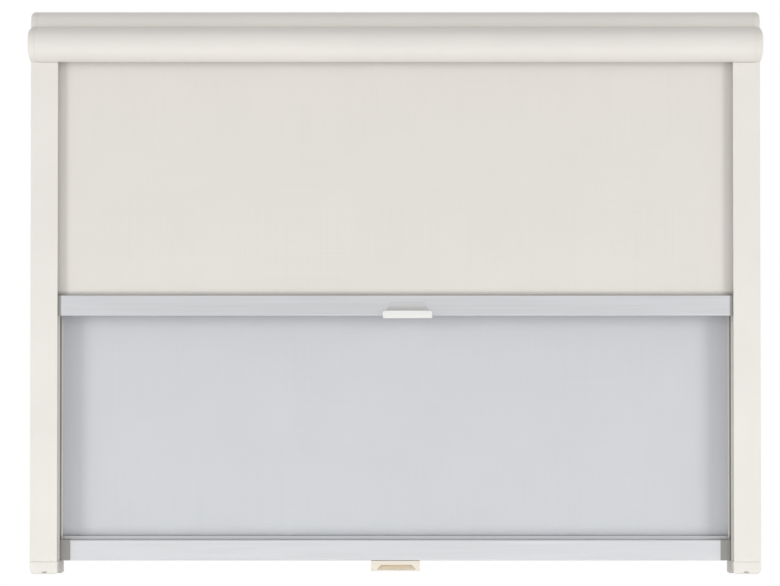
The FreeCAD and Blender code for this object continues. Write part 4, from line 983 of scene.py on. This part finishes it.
def grip_ring(z):
    """One level of the beige handle, round its front, side, back and side. The front lies back by the
    recess: a depth that shrinks downwards, times smooth steps in from its top, sill and sides."""
    across = np.linspace(-GRIP_HALF, GRIP_HALF, 131)
    way = np.clip((POCKET_TOP - z) / (POCKET_TOP - POCKET_LOW), 0.0, 1.0)
    half = POCKET_TOP_HALF + POCKET_WIDENS * way
    inside = eased((half - np.abs(across - POCKET_MIDDLE)) / POCKET_SIDE_RUN)
    inside *= eased((POCKET_TOP - z) / POCKET_TOP_RUN)
    inside *= eased((z - POCKET_LOW) / POCKET_SILL_RUN)
    depth = POCKET_DEPTH * (1.0 - POCKET_SHOALS * way)
    fall = oval_fall(GRIP_HALF - np.abs(across), GRIP_ROUND, GRIP_ROUND)
    fall += oval_fall(z - GRIP_LOW, GRIP_ROUND, GRIP_ROUND)
    fall += oval_fall(GRIP_TOP - z, GRIP_TOP_ROUND, GRIP_TOP_ROUND)
    front = np.stack([across, -(GRIP_FACE - depth * inside - fall)], -1)
    side = np.linspace(front[-1, 1], -GRIP_BACK, 5)[1:, None]
    right = np.concatenate([np.full_like(side, GRIP_HALF), side], -1)
    back = np.stack([np.linspace(GRIP_HALF, -GRIP_HALF, 9)[1:], np.full(8, -GRIP_BACK)], -1)
    left = right[::-1][1:] * (-1.0, 1.0)
    ring = np.concatenate([front, right, back, left])
    return np.concatenate([ring, np.full((len(ring), 1), z)], -1)


low_run = GRIP_LOW + GRIP_ROUND * (1.0 - np.cos(np.radians(np.arange(0.0, 91.0, 15.0))))
high_run = np.arange(GRIP_LOW + 0.9 * MM, GRIP_TOP - 0.35 * MM, GRIP_STEP)
grip_levels = np.concatenate([low_run, high_run, GRIP_TOP - np.array((0.3, 0.15, 0.05, 0.0)) * MM])
day_pull = ringed("day_pull", np.array([grip_ring(z) for z in grip_levels]), beige_plastic, sharp=50.0)
stand_for(day_pull, "day_bar", "beige_plastic", "day_handle")
day_stem = stem("day_stem", 0.0, DAY_SLOT, GRIP_TOP, beige_plastic)
stand_for(day_stem, "day_bar", "beige_plastic")


# The studio: a pale floor under the blind that fades into a white room, two tall soft lights in
# front at either side, one low soft light, and a camera almost square to the blind.

FLOOR_LEVEL = -950.0 * MM
FADE_WIDE = 0.62
FADE_DEEP = 0.24
FADE_START = 0.45
FLOOR_DARK = (0.84, 0.84, 0.83, 1.0)
FLOOR_PALE = (0.88, 0.88, 0.87, 1.0)
WHITE = (1.0, 1.0, 1.0, 1.0)
SKY_GREY = (0.49, 0.49, 0.49, 1.0)
CAMERA_PLACE = (-5.9 * MM, -2430.0 * MM, -27.5 * MM)
CAMERA_TILT = 90.894
CAMERA_LENS = 102.4
FILM_WIDTH = 36.0


def seen(tree):
    """Return 1 for rays from the camera, off gloss or through glass, and 0 for light itself."""
    path = tree.nodes.new("ShaderNodeLightPath").outputs
    either = maths(tree, "MAXIMUM", path["Is Camera Ray"], path["Is Glossy Ray"])
    return maths(tree, "MAXIMUM", either, path["Is Transmission Ray"])


def soft_light(label, place, width, height, watts):
    """A rectangular lamp that faces the middle of the blind. It is tilted and turned by the arctangents
    of its height over its distance and of its place sideways over its place in front."""
    lamp = bpy.data.lights.new(label, "AREA")
    lamp.shape = "RECTANGLE"
    lamp.size = width
    lamp.size_y = height
    lamp.energy = watts
    held = bpy.data.objects.new(label, lamp)
    held.location = place
    tilt = math.pi / 2 - math.atan2(place[2], math.hypot(place[0], place[1]))
    held.rotation_euler = (tilt, 0.0, math.atan2(place[0], -place[1]))
    bpy.context.scene.collection.objects.link(held)


floor_paint, tree, shader, place = start_material("floor_paint", Roughness=0.7)
span = np.linspace(-6.0, 6.0, 25)
wide, deep = np.meshgrid(span, span, indexing="xy")
floor_points = np.stack([wide, deep, np.full_like(wide, FLOOR_LEVEL)], -1)
floor = put("floor", floor_points, grid_faces(len(span), len(span)), floor_paint, outwards=False)
around = stretched(tree, place, 1.0 / FADE_WIDE, 1.0 / FADE_DEEP, 0.0)
distance = add(tree, "ShaderNodeVectorMath", {0: around}, operation="LENGTH").outputs["Value"]
fade = maths(tree, "MULTIPLY", spread(tree, distance, FADE_START, 1.0, 0.0, 1.0), seen(tree))
grit = spread(tree, noise(tree, place, 60.0, 4.0), 0.3, 0.7, 0.0, 1.0)
tree.links.new(mixed(tree, grit, FLOOR_DARK, FLOOR_PALE), shader.inputs["Base Color"])
white = add(tree, "ShaderNodeEmission", {"Color": WHITE, "Strength": 1.0})
blended = add(tree, "ShaderNodeMixShader", {0: fade, 1: shader.outputs[0], 2: white.outputs[0]})
tree.links.new(blended.outputs[0], tree.nodes["Material Output"].inputs["Surface"])

world = bpy.data.worlds.new("studio")
bpy.context.scene.world = world
world.use_nodes = True
tree = world.node_tree
ground = tree.nodes["Background"]
tree.links.new(mixed(tree, seen(tree), SKY_GREY, WHITE), ground.inputs["Color"])
ground.inputs["Strength"].default_value = 1.0
soft_light("left_light", (-2.09, -1.46, 0.1), width=0.65, height=1.6, watts=19.2)
soft_light("right_light", (2.09, -1.46, 0.1), width=0.65, height=1.6, watts=19.2)
soft_light("low_light", (0.0, -1.1, -0.8), width=2.2, height=0.3, watts=4.4)

lens = bpy.data.cameras.new("camera")
lens.lens = CAMERA_LENS
lens.sensor_width = FILM_WIDTH
camera = bpy.data.objects.new("camera", lens)
camera.location = CAMERA_PLACE
camera.rotation_euler = (math.radians(CAMERA_TILT), 0.0, 0.0)
bpy.context.scene.collection.objects.link(camera)
bpy.context.scene.camera = camera
bpy.context.scene.view_settings.view_transform = "Standard"
